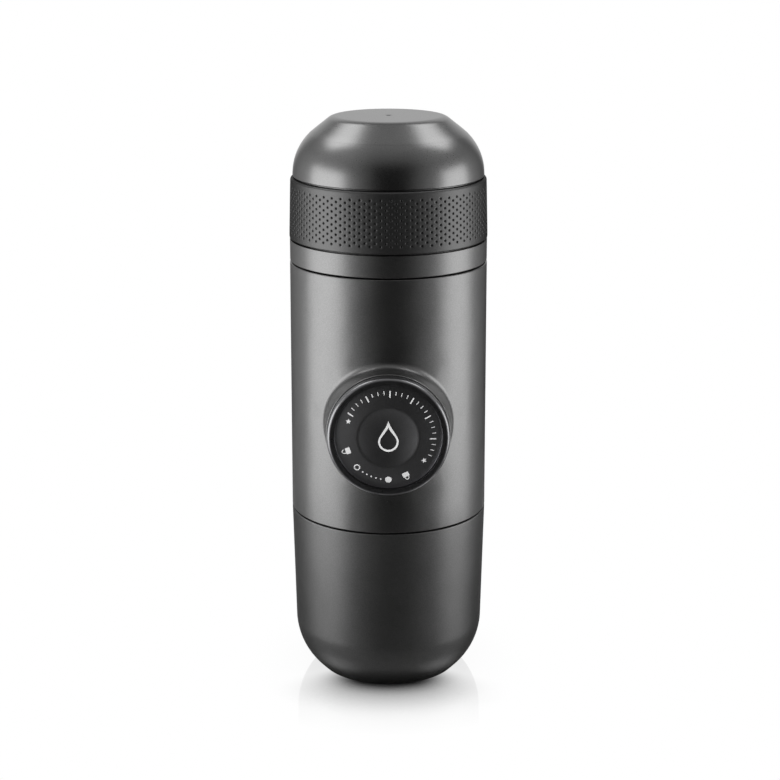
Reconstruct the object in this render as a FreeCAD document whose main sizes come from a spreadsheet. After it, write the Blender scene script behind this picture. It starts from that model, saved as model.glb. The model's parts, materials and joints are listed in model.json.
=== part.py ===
"""Handheld manual espresso maker, in millimetres, +Z up.

The origin is the middle of the flat foot of the water tank, on the axis of the round body. The
piston button is on the front, towards -Y. From the bottom up: water tank, main body with the pump,
outlet head with its grip band, and the cup upside down on top.
"""
import FreeCAD, Part

import math
import os
import re

import Sketcher
from FreeCAD import Placement, Rotation, Vector

# Driving dimensions: millimetres, and degrees for angles
SIZES = {
    # Whole body
    "hull_radius": 30.3,  # outside at the seam between tank and body
    "seam": 0.4,  # open line between tank, body, head and cup
    "fit": 0.1,  # clearance of a piece pressed or screwed in its seat
    "thread_gap": 0.7,  # radial room that the threads fill
    "edge_break": 0.35,  # small round on the outer edges
    # Water tank
    "tank_height": 53.0,  # foot to rim
    "foot_inset": 8.7,  # edge of the flat foot, inside the hull radius
    "tank_corner_height": 7.8,  # where foot slope and wall would meet
    "tank_draft": 1.05,  # where foot slope and wall would meet, inside the hull radius
    "tank_round": 21.0,  # big round between foot slope and wall
    "tank_wall": 2.3,
    "tank_floor": 2.6,
    "mouth_wall": 2.7,  # wall of the threaded mouth
    "mouth_depth": 11.0,  # length of the threaded mouth
    # Main body
    "body_height": 77.8,  # painted sleeve
    "body_draft": 0.3,  # sleeve radius, bottom to top
    "sleeve_wall": 3.1,
    "deck_gap": 0.2,  # both decks in the sleeve
    # Boss, button and dial
    "dial_offset": 2.75,  # piston axis below the middle of the room between the decks
    "boss_rise": 5.9,  # front of the boss, outside the hull radius
    "boss_radius": 18.3,  # boss at its front
    "boss_draft": 4.0,  # degrees
    "boss_round": 2.2,  # hollow round where the boss grows out of the sleeve
    "button_gap": 0.3,  # between boss and button when locked
    "button_inset": 0.35,  # button head inside the edge of the boss
    "button_thickness": 3.1,
    "button_round": 1.1,  # round of the button's front edge
    "button_rim": 2.05,  # rim round the dial plate
    "dial_thickness": 1.4,
    "dial_drop": 0.4,  # dial plate below the button's rim
    "dish_radius": 9.0,  # thumb dish in the dial plate
    "dish_depth": 0.75,
    "stroke": 20.0,  # travel of the pump
    "lock_turn": 45.0,  # turn from locked to unlocked, degrees
    "skirt_wall": 1.4,  # button's skirt
    "skirt_end": 8.0,  # inner end of the skirt when locked, from the body's axis
    "lug_length": 3.0,  # lock lug along the piston axis
    "lug_height": 1.2,  # lock lug above the skirt
    "lug_angle": 20.0,  # lock lug round the skirt, degrees
    "lug_play": 2.0,  # slot past the lug at both ends of its turn, degrees
    "slide_gap": 0.3,  # skirt and lugs in the guide
    "guide_wall": 2.2,  # piston guide
    "guide_flange": 1.5,  # collar of the piston guide
    "hub_radius": 4.6,  # hub under the button head
    "hub_length": 7.5,
    # Pump
    "pump_wall": 2.1,
    "pump_mouth": 12.0,  # open end of the cylinder, from the body's axis
    "pump_end_wall": 2.5,
    "port_room": 1.4,  # bore past the middle of the ports
    "spring_seat": 4.5,  # front of the collar that carries the spring, from the body's axis
    "spring_seat_thickness": 2.5,
    "rod_radius": 3.0,
    "plunger_gap": 0.2,  # plunger head in the bore
    "plunger_length": 7.5,
    "plunger_end_gap": 2.5,  # plunger head to the closed end when locked
    "seal_gap": 0.07,  # plunger seals in the bore
    "seal_width": 1.8,  # plunger seal grooves
    "seal_depth": 1.4,
    "seal_land": 1.3,  # plunger head between its grooves
    "screw_radius": 1.5,  # shank of every screw
    "screw_head": 2.7,
    "screw_head_height": 1.3,
    "screw_length": 9.0,  # shank of a frame screw
    "tap_room": 1.0,  # hole past the end of a screw
    "button_screw_length": 10.0,
    "button_shoulder": 1.2,  # under the head of the button screw
    "wire_radius": 0.55,  # return spring
    "spring_gap": 0.25,  # spring to cylinder and to skirt
    "spring_pitch": 3.6,  # spring when locked
    # Frame, pipes and valves
    "frame_gap": 1.0,  # columns to the lock lugs
    "screw_room": 1.075,  # heads of the frame screws to the bore of the neck
    "column_angle": 26.565,  # columns round the body's axis, from sideways, degrees
    "column_radius": 3.2,
    "web_thickness": 3.0,  # plate between the columns
    "ring_width": 10.5,  # frame's end rings
    "ring_thickness": 3.0,
    "notch_gap": 2.2,  # notch in the rings round the valve tower
    "tower_inset": 7.4,  # middle of the valve tower, inside the deck's edge
    "tower_radius": 6.0,
    "tower_foot_gap": 5.0,  # tower above the lower deck
    "tower_top_gap": 11.2,  # tower below the brew chamber
    "valve_bore": 4.2,  # valve pocket radius
    "valve_pocket": 9.5,  # valve pocket depth
    "port_radius": 1.1,  # ports between pocket and cylinder
    "valve_length": 5.4,  # duckbill valve
    "valve_flange": 1.2,
    "valve_waist": 2.7,
    "valve_waist_height": 2.7,
    "valve_lip": 1.2,  # radius of the valve's lips
    "pipe_radius": 4.0,
    "pipe_bore": 2.2,
    "pipe_socket": 3.5,  # height of the pipe's socket on the lower deck
    "socket_wall": 2.0,
    "deck_thickness": 3.5,  # lower deck
    "tank_neck_height": 9.8,  # threaded neck below the lower deck
    "tank_neck_wall": 3.0,
    "ring_section": 1.2,  # tank seal, radius of its section
    "strainer_radius": 4.0,
    "strainer_thickness": 0.6,
    "strainer_hole": 0.45,
    "strainer_pitch": 1.5,
    "intake_radius": 2.5,
    "vent_room": 0.6,  # vent valve to the frame's lower ring
    "vent_cap": 4.5,
    "vent_cap_height": 1.2,
    "vent_cap_edge": 0.4,  # thickness of the cap's edge
    "vent_stem": 1.2,
    "vent_bulb": 1.9,
    "vent_bulb_length": 2.9,
    "vent_tip": 0.7,
    # Brew chamber and basket
    "brew_floor": 3.0,
    "brew_neck_height": 10.5,  # threaded neck above the sleeve
    "neck_step": 0.7,  # neck inside the decks
    "neck_wall": 3.7,
    "shower_stand": 1.6,  # room under the shower plate
    "shower_ledge": 2.0,  # ledge that carries the shower plate
    "shower_thickness": 0.8,
    "shower_gap": 0.4,  # shower plate in the chamber
    "shower_post": 3.3,  # post under the shower screw
    "shower_screw_length": 3.1,  # shower screw under the plate
    "shower_head_height": 0.9,
    "shower_head_top": 1.9,
    "pipe_seat": 1.5,  # delivery pipe in the brew floor
    "basket_room": 3.7,  # brew floor to basket
    "basket_gap": 0.6,  # basket in the chamber
    "basket_depth": 14.8,  # rim to floor, outside
    "basket_wall": 0.7,
    "rim_width": 3.4,  # basket's rim outside its wall
    "hole_radius": 0.65,  # perforations
    "hole_pitch": 3.8,  # perforations, ring to ring
    "plain_edge": 2.1,  # edge of the basket's floor without holes
    "spray_radius": 13.5,  # perforated middle of shower plate and outlet screen
    "seal_thickness": 1.0,  # seal under the basket's rim
    "seal_ring_width": 2.6,  # seals at the basket's rim
    "seal_inset": 0.4,  # those seals outside the chamber's wall
    # Outlet head
    "ring_height": 6.55,  # painted ring under the grip band
    "ring_draft": 0.35,  # painted ring inside the hull radius
    "band_gap": 0.2,  # line between painted ring and grip band
    "band_height": 18.4,
    "band_inset": 0.2,  # foot of the grip band inside the hull radius
    "band_draft": 0.5,
    "band_wall": 1.8,
    "band_round": 0.6,  # round of the band's upper edge
    "head_seal_thickness": 1.4,  # seal on the basket's rim
    "head_groove": 0.6,  # groove for that seal in the deck
    "head_deck": 3.6,
    "screen_inset": 1.0,  # outlet screen inside the chamber's wall
    "screen_thickness": 0.6,
    "screen_ledge": 1.4,
    "plenum": 1.0,  # room above the screen
    "nozzle_stem": 3.0,  # nozzle in the deck
    "nozzle_flange": 7.0,
    "nozzle_flange_height": 1.4,
    "nozzle_edge": 0.7,  # thickness of the flange's edge
    "nozzle_root": 3.8,
    "nozzle_tip": 2.7,
    "nozzle_height": 10.5,
    "nozzle_bore": 1.5,
    # Cup
    "cup_height": 17.85,  # above the shoulder
    "cup_step": 0.65,  # shoulder inside the top of the band
    "cup_corner_height": 8.4,  # where wall and slope would meet, above the shoulder
    "cup_draft": 0.5,  # where wall and slope would meet, inside the shoulder
    "cup_base_inset": 11.8,  # flat base, on top when stored, inside the shoulder
    "cup_round": 15.0,  # big round between wall and slope
    "cup_base_round": 1.6,
    "cup_wall": 2.4,
    "cup_floor": 2.4,
    "cup_nest_gap": 0.2,  # skirt of the cup inside the head's core
    "cup_skirt_wall": 1.9,
    "gate_radius": 0.9,  # moulding gate in the base
    "gate_depth": 0.35,
}

# Sizes and places that follow from the driving dimensions
DERIVED = {
    # Radii of the hull, from the tank up
    "foot_radius": "hull_radius - foot_inset",
    "tank_corner_radius": "hull_radius - tank_draft",
    "tank_slope": "tank_corner_radius - foot_radius",
    "tank_slope_length": "sqrt(tank_slope * tank_slope + tank_corner_height * tank_corner_height)",
    "tank_bore": "hull_radius - mouth_wall",
    "tank_neck_radius": "tank_bore - thread_gap",
    "body_top_radius": "hull_radius - body_draft",
    "body_bore": "hull_radius - sleeve_wall",
    "deck_radius": "body_bore - deck_gap",
    "ring_radius": "hull_radius - ring_draft",
    "band_foot_radius": "hull_radius - band_inset",
    "band_top_radius": "band_foot_radius - band_draft",
    "core_radius": "band_foot_radius - band_wall",
    "cup_shoulder_radius": "band_top_radius - cup_step",
    "cup_corner_radius": "cup_shoulder_radius - cup_draft",
    "cup_base_radius": "cup_shoulder_radius - cup_base_inset",
    "cup_slope": "cup_corner_radius - cup_base_radius",
    "cup_slope_rise": "cup_height - cup_corner_height",
    "cup_slope_length": "sqrt(cup_slope * cup_slope + cup_slope_rise * cup_slope_rise)",
    "cup_skirt_radius": "core_radius - cup_nest_gap",
    # Radii of the brew chamber
    "brew_neck_radius": "deck_radius - neck_step",
    "chamber_radius": "brew_neck_radius - neck_wall",
    "basket_radius": "chamber_radius - basket_gap",
    "basket_rim": "basket_radius + rim_width",
    "screen_radius": "chamber_radius - screen_inset",
    "head_skirt": "brew_neck_radius + thread_gap",
    # Heights
    "body_foot": "tank_height + seam",
    "body_top": "body_foot + body_height",
    "neck_foot": "body_foot - tank_neck_height",
    "tank_seal_height": "body_foot - 2 * ring_section",
    "lower_deck_top": "body_foot + deck_thickness",
    "brew_neck_top": "body_top + brew_neck_height",
    "basket_rim_under": "brew_neck_top + seal_thickness",
    "basket_top": "basket_rim_under + basket_wall",
    "basket_under": "basket_rim_under - basket_depth",
    "brew_floor_top": "basket_under - basket_room",
    "brew_floor_under": "brew_floor_top - brew_floor",
    "shower_seat": "brew_floor_top + shower_stand",
    "head_foot": "body_top + seam",
    "ring_top": "head_foot + ring_height",
    "band_foot": "ring_top + band_gap",
    "band_top": "band_foot + band_height",
    "head_deck_under": "basket_top + head_seal_thickness - head_groove",
    "head_deck_top": "head_deck_under + head_deck",
    "screen_top": "head_deck_under + screen_thickness",
    "plenum_top": "screen_top + plenum",
    "cup_mouth": "head_deck_top + seam",
    "cup_shoulder": "band_top + seam",
    "cup_corner": "cup_shoulder + cup_corner_height",
    "cup_top": "cup_shoulder + cup_height",
    # Piston axis, and distances forward of the body's axis along it
    "dial_height": "(lower_deck_top + brew_floor_under) / 2 - dial_offset",
    "boss_reach": "hull_radius + boss_rise",
    "button_back": "boss_reach + button_gap",
    "button_face": "button_back + button_thickness",
    "dial_face": "button_face - dial_drop",
    "dial_back": "dial_face - dial_thickness",
    "hub_end": "button_back - hub_length",
    "guide_back": "skirt_end + 2 * lug_length",
    "plunger_tip": "plunger_end_gap - pump_end",
    "plunger_head": "plunger_tip + plunger_length",
    "rod_end": "dial_back - screw_head_height - fit - button_shoulder",
    # Frame, whose screws stand inside the neck
    "tank_neck_bore": "tank_neck_radius - tank_neck_wall",
    "column_circle": "tank_neck_bore - screw_room - screw_head",
    "frame_x": "column_circle * cos(column_angle)",
    "frame_y": "column_circle * sin(column_angle)",
    "ring_inner": "deck_radius - ring_width",
    # Radii round the piston axis
    "button_radius": "boss_radius - button_inset",
    "dial_radius": "button_radius - button_rim",
    "skirt_radius": "frame_x - column_radius - frame_gap - lug_height",
    "spring_radius": "skirt_radius - skirt_wall - spring_gap - wire_radius",
    "pump_bore": "spring_radius - wire_radius - spring_gap - pump_wall",
    "spring_seat_radius": "skirt_radius + skirt_wall",
    "guide_bore": "skirt_radius + slide_gap",
    "guide_radius": "guide_bore + guide_wall",
    "plunger_radius": "pump_bore - plunger_gap",
    # Valve tower and vent
    "tower_y": "deck_radius - tower_inset",
    "pump_end": "tower_y + port_room",
    "tower_foot": "lower_deck_top + tower_foot_gap",
    "tower_top": "brew_floor_under - tower_top_gap",
    "inlet_seat": "tower_foot + valve_pocket - valve_length",
    "outlet_seat": "tower_top - valve_pocket",
    "vent_y": "ring_inner - vent_bulb - vent_room",
}

FUNCTIONS = ("sqrt", "sin", "cos")
CUT_PAST = 1.0  # how far a cutting tool reaches past what it cuts

document = FreeCAD.newDocument("EspressoMaker")
sheet = document.addObject("Spreadsheet::Sheet", "Sizes")
for row, (alias, value) in enumerate(SIZES.items(), 1):
    sheet.set(f"A{row}", str(value))
    sheet.setAlias(f"A{row}", alias)
document.recompute()


def formula(text):
    """The document's expression for a text that names driving and derived sizes."""

    def expand(match):
        word = match.group()
        if word in FUNCTIONS:
            return word
        if word in DERIVED:
            return f"({formula(DERIVED[word])})"
        return "Sizes." + word

    return re.sub(r"[a-z][a-z_]*", expand, text)


def number(text):
    """The value of a text that names sizes."""
    return float(sheet.evalExpression(formula(text)))


def bind(item, **properties):
    """Ties properties of an object to sizes; a double underscore stands for a dot."""
    for name, text in properties.items():
        item.setExpression(name.replace("__", "."), formula(text))


ON_PISTON_AXIS = Rotation(Vector(1, 0, 0), 90)


def lay_on_piston_axis(item):
    """Turns a piece so that its own +Z points forward, and lifts it to the piston axis."""
    item.Placement = Placement(Vector(), ON_PISTON_AXIS)
    bind(item, Placement__Base__z="dial_height")


def origin_feature(body, role):
    return next(item for item in body.Origin.OriginFeatures if item.Role == role)


def outline_sketch(body, name, corners):
    """A closed outline of straight runs on the body's XZ plane.

    corners is a list of (name, radius, height), the last two as texts of sizes.
    """
    sketch = body.newObject("Sketcher::SketchObject", name)
    sketch.AttachmentSupport = [(origin_feature(body, "XZ_Plane"), "")]
    sketch.MapMode = "FlatFace"
    count = len(corners)
    places = [Vector(number(radius), number(height), 0) for corner, radius, height in corners]
    for i in range(count):
        sketch.addGeometry(Part.LineSegment(places[i], places[(i + 1) % count]), False)
    for i in range(count):
        sketch.addConstraint(Sketcher.Constraint("Coincident", i, 2, (i + 1) % count, 1))
    for i, (corner, radius, height) in enumerate(corners):
        for kind, text, axis in (("DistanceX", radius, -2), ("DistanceY", height, -1)):
            if text == "0":
                sketch.addConstraint(Sketcher.Constraint("PointOnObject", i, 1, axis))
                continue
            index = sketch.addConstraint(Sketcher.Constraint(kind, i, 1, number(text)))
            sketch.renameConstraint(index, f"{corner}_{kind[-1]}")
            sketch.setExpression(f"Constraints[{index}]", formula(text))
    return sketch


def turned(name, corners, rounds=None, on_piston_axis=False):
    """A body turned about its own Z axis from an outline, with the named corners rounded."""
    body = document.addObject("PartDesign::Body", name)
    sketch = outline_sketch(body, name + "_outline", corners)
    turn = body.newObject("PartDesign::Revolution", name + "_turn")
    turn.Profile = sketch
    turn.ReferenceAxis = (sketch, ["V_Axis"])
    turn.Angle = 360
    if on_piston_axis:
        lay_on_piston_axis(body)
    document.recompute()
    names = [corner[0] for corner in corners]
    for radius, wanted in (rounds or {}).items():
        points = [sketch.getPoint(names.index(corner), 1) for corner in wanted]
        round_off(body, name, points, radius)
    return body


def round_off(body, name, points, radius):
    """Rounds the circular edges that pass through the given (radius, height) points."""
    base = body.Tip
    # the tip's shape is in the body's own coordinates
    edges = []
    for index, edge in enumerate(base.Shape.Edges, 1):
        if not isinstance(edge.Curve, Part.Circle):
            continue
        centre = edge.Curve.Center
        for point in points:
            if abs(edge.Curve.Radius - point.x) < 1e-4 and abs(centre.z - point.y) < 1e-4:
                edges.append(f"Edge{index}")
    fillet = body.newObject("PartDesign::Fillet", name + "_round_" + radius)
    fillet.Base = (base, edges)
    bind(fillet, Radius=radius)
    document.recompute()


def reaching_past(foot, height, past):
    """Foot and height of a cutting tool that reaches past what it cuts."""
    if past in ("foot", "both"):
        foot, height = f"{foot} - {CUT_PAST}", f"{height} + {CUT_PAST}"
    if past in ("top", "both"):
        height = f"{height} + {CUT_PAST}"
    return foot, height


def upright(name, radius, foot, height, x="0", y="0", past=""):
    """A cylinder along Z; as a cutting tool it reaches past its foot, its top or both."""
    cylinder = document.addObject("Part::Cylinder", name)
    foot, height = reaching_past(foot, height, past)
    bind(cylinder, Radius=radius, Height=height, Placement__Base__z=foot)
    if x != "0":
        bind(cylinder, Placement__Base__x=x)
    if y != "0":
        bind(cylinder, Placement__Base__y=y)
    return cylinder


def along_piston(name, radius, start, length, angle=None, turn=0, past=""):
    """A cylinder, or a sector of one, along the piston axis; start is forward of the body's axis.

    As a cutting tool it reaches past its back end (foot), its front end (top) or both.
    """
    cylinder = document.addObject("Part::Cylinder", name)
    start, length = reaching_past(start, length, past)
    cylinder.Placement = Placement(Vector(), ON_PISTON_AXIS * Rotation(Vector(0, 0, 1), turn))
    bind(cylinder, Radius=radius, Height=length)
    bind(cylinder, Placement__Base__y=f"0 - ({start})", Placement__Base__z="dial_height")
    if angle:
        bind(cylinder, Angle=angle)
    return cylinder


def joined(name, shapes):
    fuse = document.addObject("Part::MultiFuse", name)
    fuse.Shapes = shapes
    fuse.Refine = True
    return fuse


def cut(name, base, tools):
    """base less all the tools."""
    result = document.addObject("Part::Cut", name)
    result.Base = base
    result.Tool = joined(name + "_tools", tools) if len(tools) > 1 else tools[0]
    result.Refine = True
    return result


def signs():
    """The four corners of the frame, as signs of x and y."""
    return [(x, y) for x in (-1, 1) for y in (-1, 1)]


def at_columns(name, radius, foot, height, past=""):
    """One upright cylinder at each frame column."""
    return [
        upright(f"{name}_{index}", radius, foot, height, f"{x} * frame_x", f"{y} * frame_y", past)
        for index, (x, y) in enumerate(signs(), 1)
    ]


def make_water_tank():
    # the wall keeps its thickness round the corner between foot slope and wall
    inner_corner = "(tank_corner_height + tank_wall * (tank_slope_length - tank_corner_height) / tank_slope)"
    floor_edge = f"({inner_corner} - tank_floor) * tank_slope / tank_corner_height"
    return turned(
        "water_tank",
        [
            ("foot_middle", "0", "0"),
            ("foot_edge", "foot_radius", "0"),
            ("corner", "tank_corner_radius", "tank_corner_height"),
            ("rim_outside", "hull_radius", "tank_height"),
            ("rim_inside", "tank_bore", "tank_height"),
            ("bore_end", "tank_bore", "tank_height - mouth_depth"),
            ("inner_corner", "tank_corner_radius - tank_wall", inner_corner),
            ("floor_edge", f"tank_corner_radius - tank_wall - {floor_edge}", "tank_floor"),
            ("floor_middle", "0", "tank_floor"),
        ],
        {
            "tank_round": ["corner"],
            "tank_round - tank_wall": ["inner_corner"],
            "edge_break": ["rim_outside", "foot_edge"],
        },
    )


def make_tank_seal():
    ring = document.addObject("Part::Torus", "tank_seal")
    bind(
        ring,
        Radius1="tank_bore - fit - ring_section",
        Radius2="ring_section",
        Placement__Base__z="tank_seal_height",
    )
    return ring


def make_tank_neck():
    """Lower deck with the threaded neck under it and its seats for seal, pipe, strainer and vent."""
    groove_top = "tank_seal_height + ring_section + fit"
    groove_foot = "tank_seal_height - ring_section - fit"
    groove = "tank_bore - 2 * ring_section - 2 * fit"
    plain = turned(
        "tank_neck_plain",
        [
            ("deck_middle", "0", "body_foot"),
            ("bore_top", "tank_neck_bore", "body_foot"),
            ("bore_foot", "tank_neck_bore", "neck_foot"),
            ("neck_foot", "tank_neck_radius", "neck_foot"),
            ("groove_foot", "tank_neck_radius", groove_foot),
            ("groove_foot_deep", groove, groove_foot),
            ("groove_top_deep", groove, groove_top),
            ("groove_top", "tank_neck_radius", groove_top),
            ("neck_top", "tank_neck_radius", "body_foot"),
            ("deck_edge", "deck_radius", "body_foot"),
            ("deck_edge_top", "deck_radius", "lower_deck_top"),
            ("deck_middle_top", "0", "lower_deck_top"),
        ],
    )
    socket = upright(
        "tank_neck_socket",
        "pipe_radius + socket_wall",
        "body_foot",
        "deck_thickness + pipe_socket",
        y="tower_y",
    )
    recess = "strainer_thickness + fit"
    pipe_hole = "pipe_radius + fit"
    holes = [
        upright("intake_port", "intake_radius", "body_foot", "deck_thickness", y="tower_y", past="both"),
        upright("strainer_seat", "strainer_radius + fit", "body_foot", recess, y="tower_y", past="foot"),
        upright("intake_seat", pipe_hole, "lower_deck_top", "pipe_socket", y="tower_y", past="top"),
        upright("vent_hole", "vent_stem + fit", "body_foot", "deck_thickness", y="-1 * vent_y", past="both"),
    ]
    holes += at_columns("tank_neck_screw", "screw_radius + fit", "body_foot", "deck_thickness", "both")
    return cut("tank_neck", joined("tank_neck_solid", [plain, socket]), holes)


def make_intake_strainer():
    disc = upright("strainer_disc", "strainer_radius", "body_foot + fit", "strainer_thickness", y="tower_y")
    holes = []
    for ring in (1, 2):
        for index in range(6 * ring):
            angle = math.pi * index / (3 * ring)
            across = f"{ring * math.cos(angle):.6f} * strainer_pitch"
            back = f"tower_y + {ring * math.sin(angle):.6f} * strainer_pitch"
            name = f"strainer_hole_{ring}_{index}"
            foot = "body_foot + fit"
            holes.append(upright(name, "strainer_hole", foot, "strainer_thickness", across, back, "both"))
    return cut("intake_strainer", disc, holes)


def make_vent_valve():
    """An umbrella of rubber: cap in the neck, stem through the deck, bulb above it."""
    valve = turned(
        "vent_valve",
        [
            ("cap_middle", "0", "0 - vent_cap_height"),
            ("cap_edge", "vent_cap", "0 - fit - vent_cap_edge"),
            ("cap_lip", "vent_cap", "0 - fit"),
            ("stem_foot", "vent_stem", "0 - fit"),
            ("stem_top", "vent_stem", "deck_thickness + fit"),
            ("bulb", "vent_bulb", "deck_thickness + fit"),
            ("bulb_top", "vent_tip", "deck_thickness + fit + vent_bulb_length"),
            ("top_middle", "0", "deck_thickness + fit + vent_bulb_length"),
        ],
    )
    bind(valve, Placement__Base__y="-1 * vent_y", Placement__Base__z="body_foot")
    return valve


def make_pipe(name, foot, top):
    height = f"{top} - ({foot})"
    outside = upright(name + "_outside", "pipe_radius", foot, height, y="tower_y")
    inside = upright(name + "_inside", "pipe_bore", foot, height, y="tower_y", past="both")
    return cut(name, outside, [inside])


def make_valve(name, foot):
    """A duckbill valve: a flange, and a body that narrows to its lips."""
    valve = turned(
        name,
        [
            ("flange_middle", "0", "0"),
            ("flange_edge", "valve_bore - fit", "0"),
            ("flange_top", "valve_bore - fit", "valve_flange"),
            ("waist_foot", "valve_waist", "valve_flange"),
            ("waist_top", "valve_waist", "valve_waist_height"),
            ("lip", "valve_lip", "valve_length"),
            ("lip_middle", "0", "valve_length"),
        ],
    )
    bind(valve, Placement__Base__y="tower_y", Placement__Base__z=foot)
    return valve


def make_pump_block():
    """Cylinder, valve tower, four columns, two end rings and the web that joins them."""
    web = document.addObject("Part::Box", "frame_web")
    bind(
        web,
        Length="2 * frame_x",
        Width="2 * frame_y",
        Height="web_thickness",
        Placement__Base__x="-1 * frame_x",
        Placement__Base__y="-1 * frame_y",
        Placement__Base__z="dial_height - web_thickness / 2",
    )
    skirt_room = along_piston("skirt_room", "spring_seat_radius + slide_gap", "spring_seat", "2 * frame_y")
    barrel = along_piston(
        "pump_barrel",
        "pump_bore + pump_wall",
        "0 - pump_end - pump_end_wall",
        "pump_mouth + pump_end + pump_end_wall",
    )
    collar = along_piston(
        "spring_collar",
        "spring_seat_radius",
        "spring_seat - spring_seat_thickness",
        "spring_seat_thickness",
    )
    tower = upright("valve_tower", "tower_radius", "tower_foot", "tower_top - tower_foot", y="tower_y")
    solids = [barrel, collar, cut("frame_web_open", web, [skirt_room]), tower]
    notch = "tower_radius + notch_gap"
    for end, foot in (("lower", "lower_deck_top"), ("upper", "brew_floor_under - ring_thickness")):
        disc = upright(f"{end}_ring_disc", "deck_radius - fit", foot, "ring_thickness")
        openings = [
            upright(f"{end}_ring_middle", "ring_inner", foot, "ring_thickness", past="both"),
            upright(f"{end}_ring_notch", notch, foot, "ring_thickness", y="tower_y", past="both"),
        ]
        solids.append(cut(f"{end}_ring", disc, openings))
    solids += at_columns("column", "column_radius", "lower_deck_top", "brew_floor_under - lower_deck_top")
    port_height = "outlet_seat - tower_foot - valve_pocket"
    holes = [
        along_piston("pump_bore_hole", "pump_bore", "0 - pump_end", "pump_end + pump_mouth", past="top"),
        upright("inlet_pocket", "valve_bore", "tower_foot", "valve_pocket", y="tower_y", past="foot"),
        upright("outlet_pocket", "valve_bore", "outlet_seat", "valve_pocket", y="tower_y", past="top"),
        upright(
            "valve_port",
            "port_radius",
            "tower_foot + valve_pocket",
            port_height,
            y="tower_y",
            past="both",
        ),
    ]
    depth = "screw_length - deck_thickness + tap_room"
    holes += at_columns("lower_screw_hole", "screw_radius + fit", "lower_deck_top", depth, "foot")
    depth = "screw_length - brew_floor + tap_room"
    foot = f"brew_floor_under - ({depth})"
    holes += at_columns("upper_screw_hole", "screw_radius + fit", foot, depth, "top")
    return cut("pump_block", joined("pump_solid", solids), holes)


def make_screw(name, seat, head_down, x, y):
    """A pan-head screw; seat is the height of the face under its head."""
    head_foot = f"{seat} - screw_head_height" if head_down else seat
    shank_foot = f"{seat} - fit" if head_down else f"{seat} - screw_length"
    head = upright(name + "_head", "screw_head", head_foot, "screw_head_height", x, y)
    shank = upright(name + "_shank", "screw_radius", shank_foot, "screw_length + fit", x, y)
    return joined(name, [head, shank])


def make_frame_screws():
    screws = []
    for index, (x, y) in enumerate(signs(), 1):
        place = (f"{x} * frame_x", f"{y} * frame_y")
        screws.append(make_screw(f"lower_screw_{index}", "body_foot", True, *place))
        screws.append(make_screw(f"upper_screw_{index}", "brew_floor_top", False, *place))
    group = document.addObject("Part::Compound", "frame_screws")
    group.Links = screws
    return group


def make_brew_neck():
    plain = turned(
        "brew_neck_plain",
        [
            ("under_middle", "0", "brew_floor_under"),
            ("under_edge", "deck_radius", "brew_floor_under"),
            ("deck_top", "deck_radius", "body_top"),
            ("neck_foot", "brew_neck_radius", "body_top"),
            ("neck_top", "brew_neck_radius", "brew_neck_top"),
            ("chamber_top", "chamber_radius", "brew_neck_top"),
            ("chamber_foot", "chamber_radius", "shower_seat"),
            ("ledge", "chamber_radius - shower_ledge", "shower_seat"),
            ("ledge_foot", "chamber_radius - shower_ledge", "brew_floor_top"),
            ("floor_middle", "0", "brew_floor_top"),
        ],
        {"edge_break": ["neck_top"]},
    )
    post = upright("shower_post_solid", "shower_post", "brew_floor_under", "brew_floor + shower_stand")
    solid = joined("brew_neck_solid", [plain, post])
    screw_hole = "screw_radius + fit"
    deep = "shower_screw_length + tap_room"
    pipe_hole = "pipe_radius + fit"
    port_foot = "brew_floor_under + pipe_seat"
    port_height = "brew_floor - pipe_seat + shower_stand"
    holes = [
        upright("shower_screw_hole", screw_hole, f"shower_seat - ({deep})", deep, past="top"),
        upright("delivery_seat", pipe_hole, "brew_floor_under", "pipe_seat", y="tower_y", past="foot"),
        upright("delivery_port", "pipe_bore", port_foot, port_height, y="tower_y", past="foot"),
    ]
    holes += at_columns("brew_screw_hole", screw_hole, "brew_floor_under", "brew_floor", "both")
    holes += at_columns("brew_counterbore", "screw_head + fit", "brew_floor_top", "shower_stand")
    return cut("brew_neck", solid, holes)


def ring_of_holes(body, name, ring, depth):
    """One circle of perforations round the body's axis, six more in each ring outwards."""
    sketch = body.newObject("Sketcher::SketchObject", f"{name}_sketch_{ring}")
    sketch.AttachmentSupport = [(origin_feature(body, "XY_Plane"), "")]
    sketch.MapMode = "FlatFace"
    pitch = f"{ring} * hole_pitch"
    add_disc(sketch, "DistanceX", pitch, "hole_radius")
    pocket = body.newObject("PartDesign::Pocket", f"{name}_hole_{ring}")
    pocket.Profile = sketch
    pocket.Reversed = True
    bind(pocket, Length=depth)
    document.recompute()
    pattern = body.newObject("PartDesign::PolarPattern", f"{name}_ring_{ring}")
    pattern.Originals = [pocket]
    pattern.Axis = (origin_feature(body, "Z_Axis"), [""])
    pattern.Angle = 360
    pattern.Occurrences = 6 * ring
    body.Tip = pattern
    document.recompute()


def perforate(body, name, radius, depth):
    """Rings of holes out to the given radius, from the body's own XY plane upwards."""
    before = body.Shape.Volume
    rings = int(number(f"({radius} - 2 * hole_radius) / hole_pitch"))
    for ring in range(1, rings + 1):
        ring_of_holes(body, name, ring, depth)
    if body.Shape.Volume >= before:
        raise RuntimeError(f"{name} has no holes")


def make_shower_plate():
    plate = turned(
        "shower_plate",
        [
            ("hole_foot", "screw_radius + fit", "0"),
            ("edge_foot", "chamber_radius - shower_gap", "0"),
            ("edge_top", "chamber_radius - shower_gap", "shower_thickness"),
            ("hole_top", "screw_radius + fit", "shower_thickness"),
        ],
    )
    perforate(plate, "shower_plate", "spray_radius", "shower_thickness")
    bind(plate, Placement__Base__z="shower_seat")
    return plate


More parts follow.
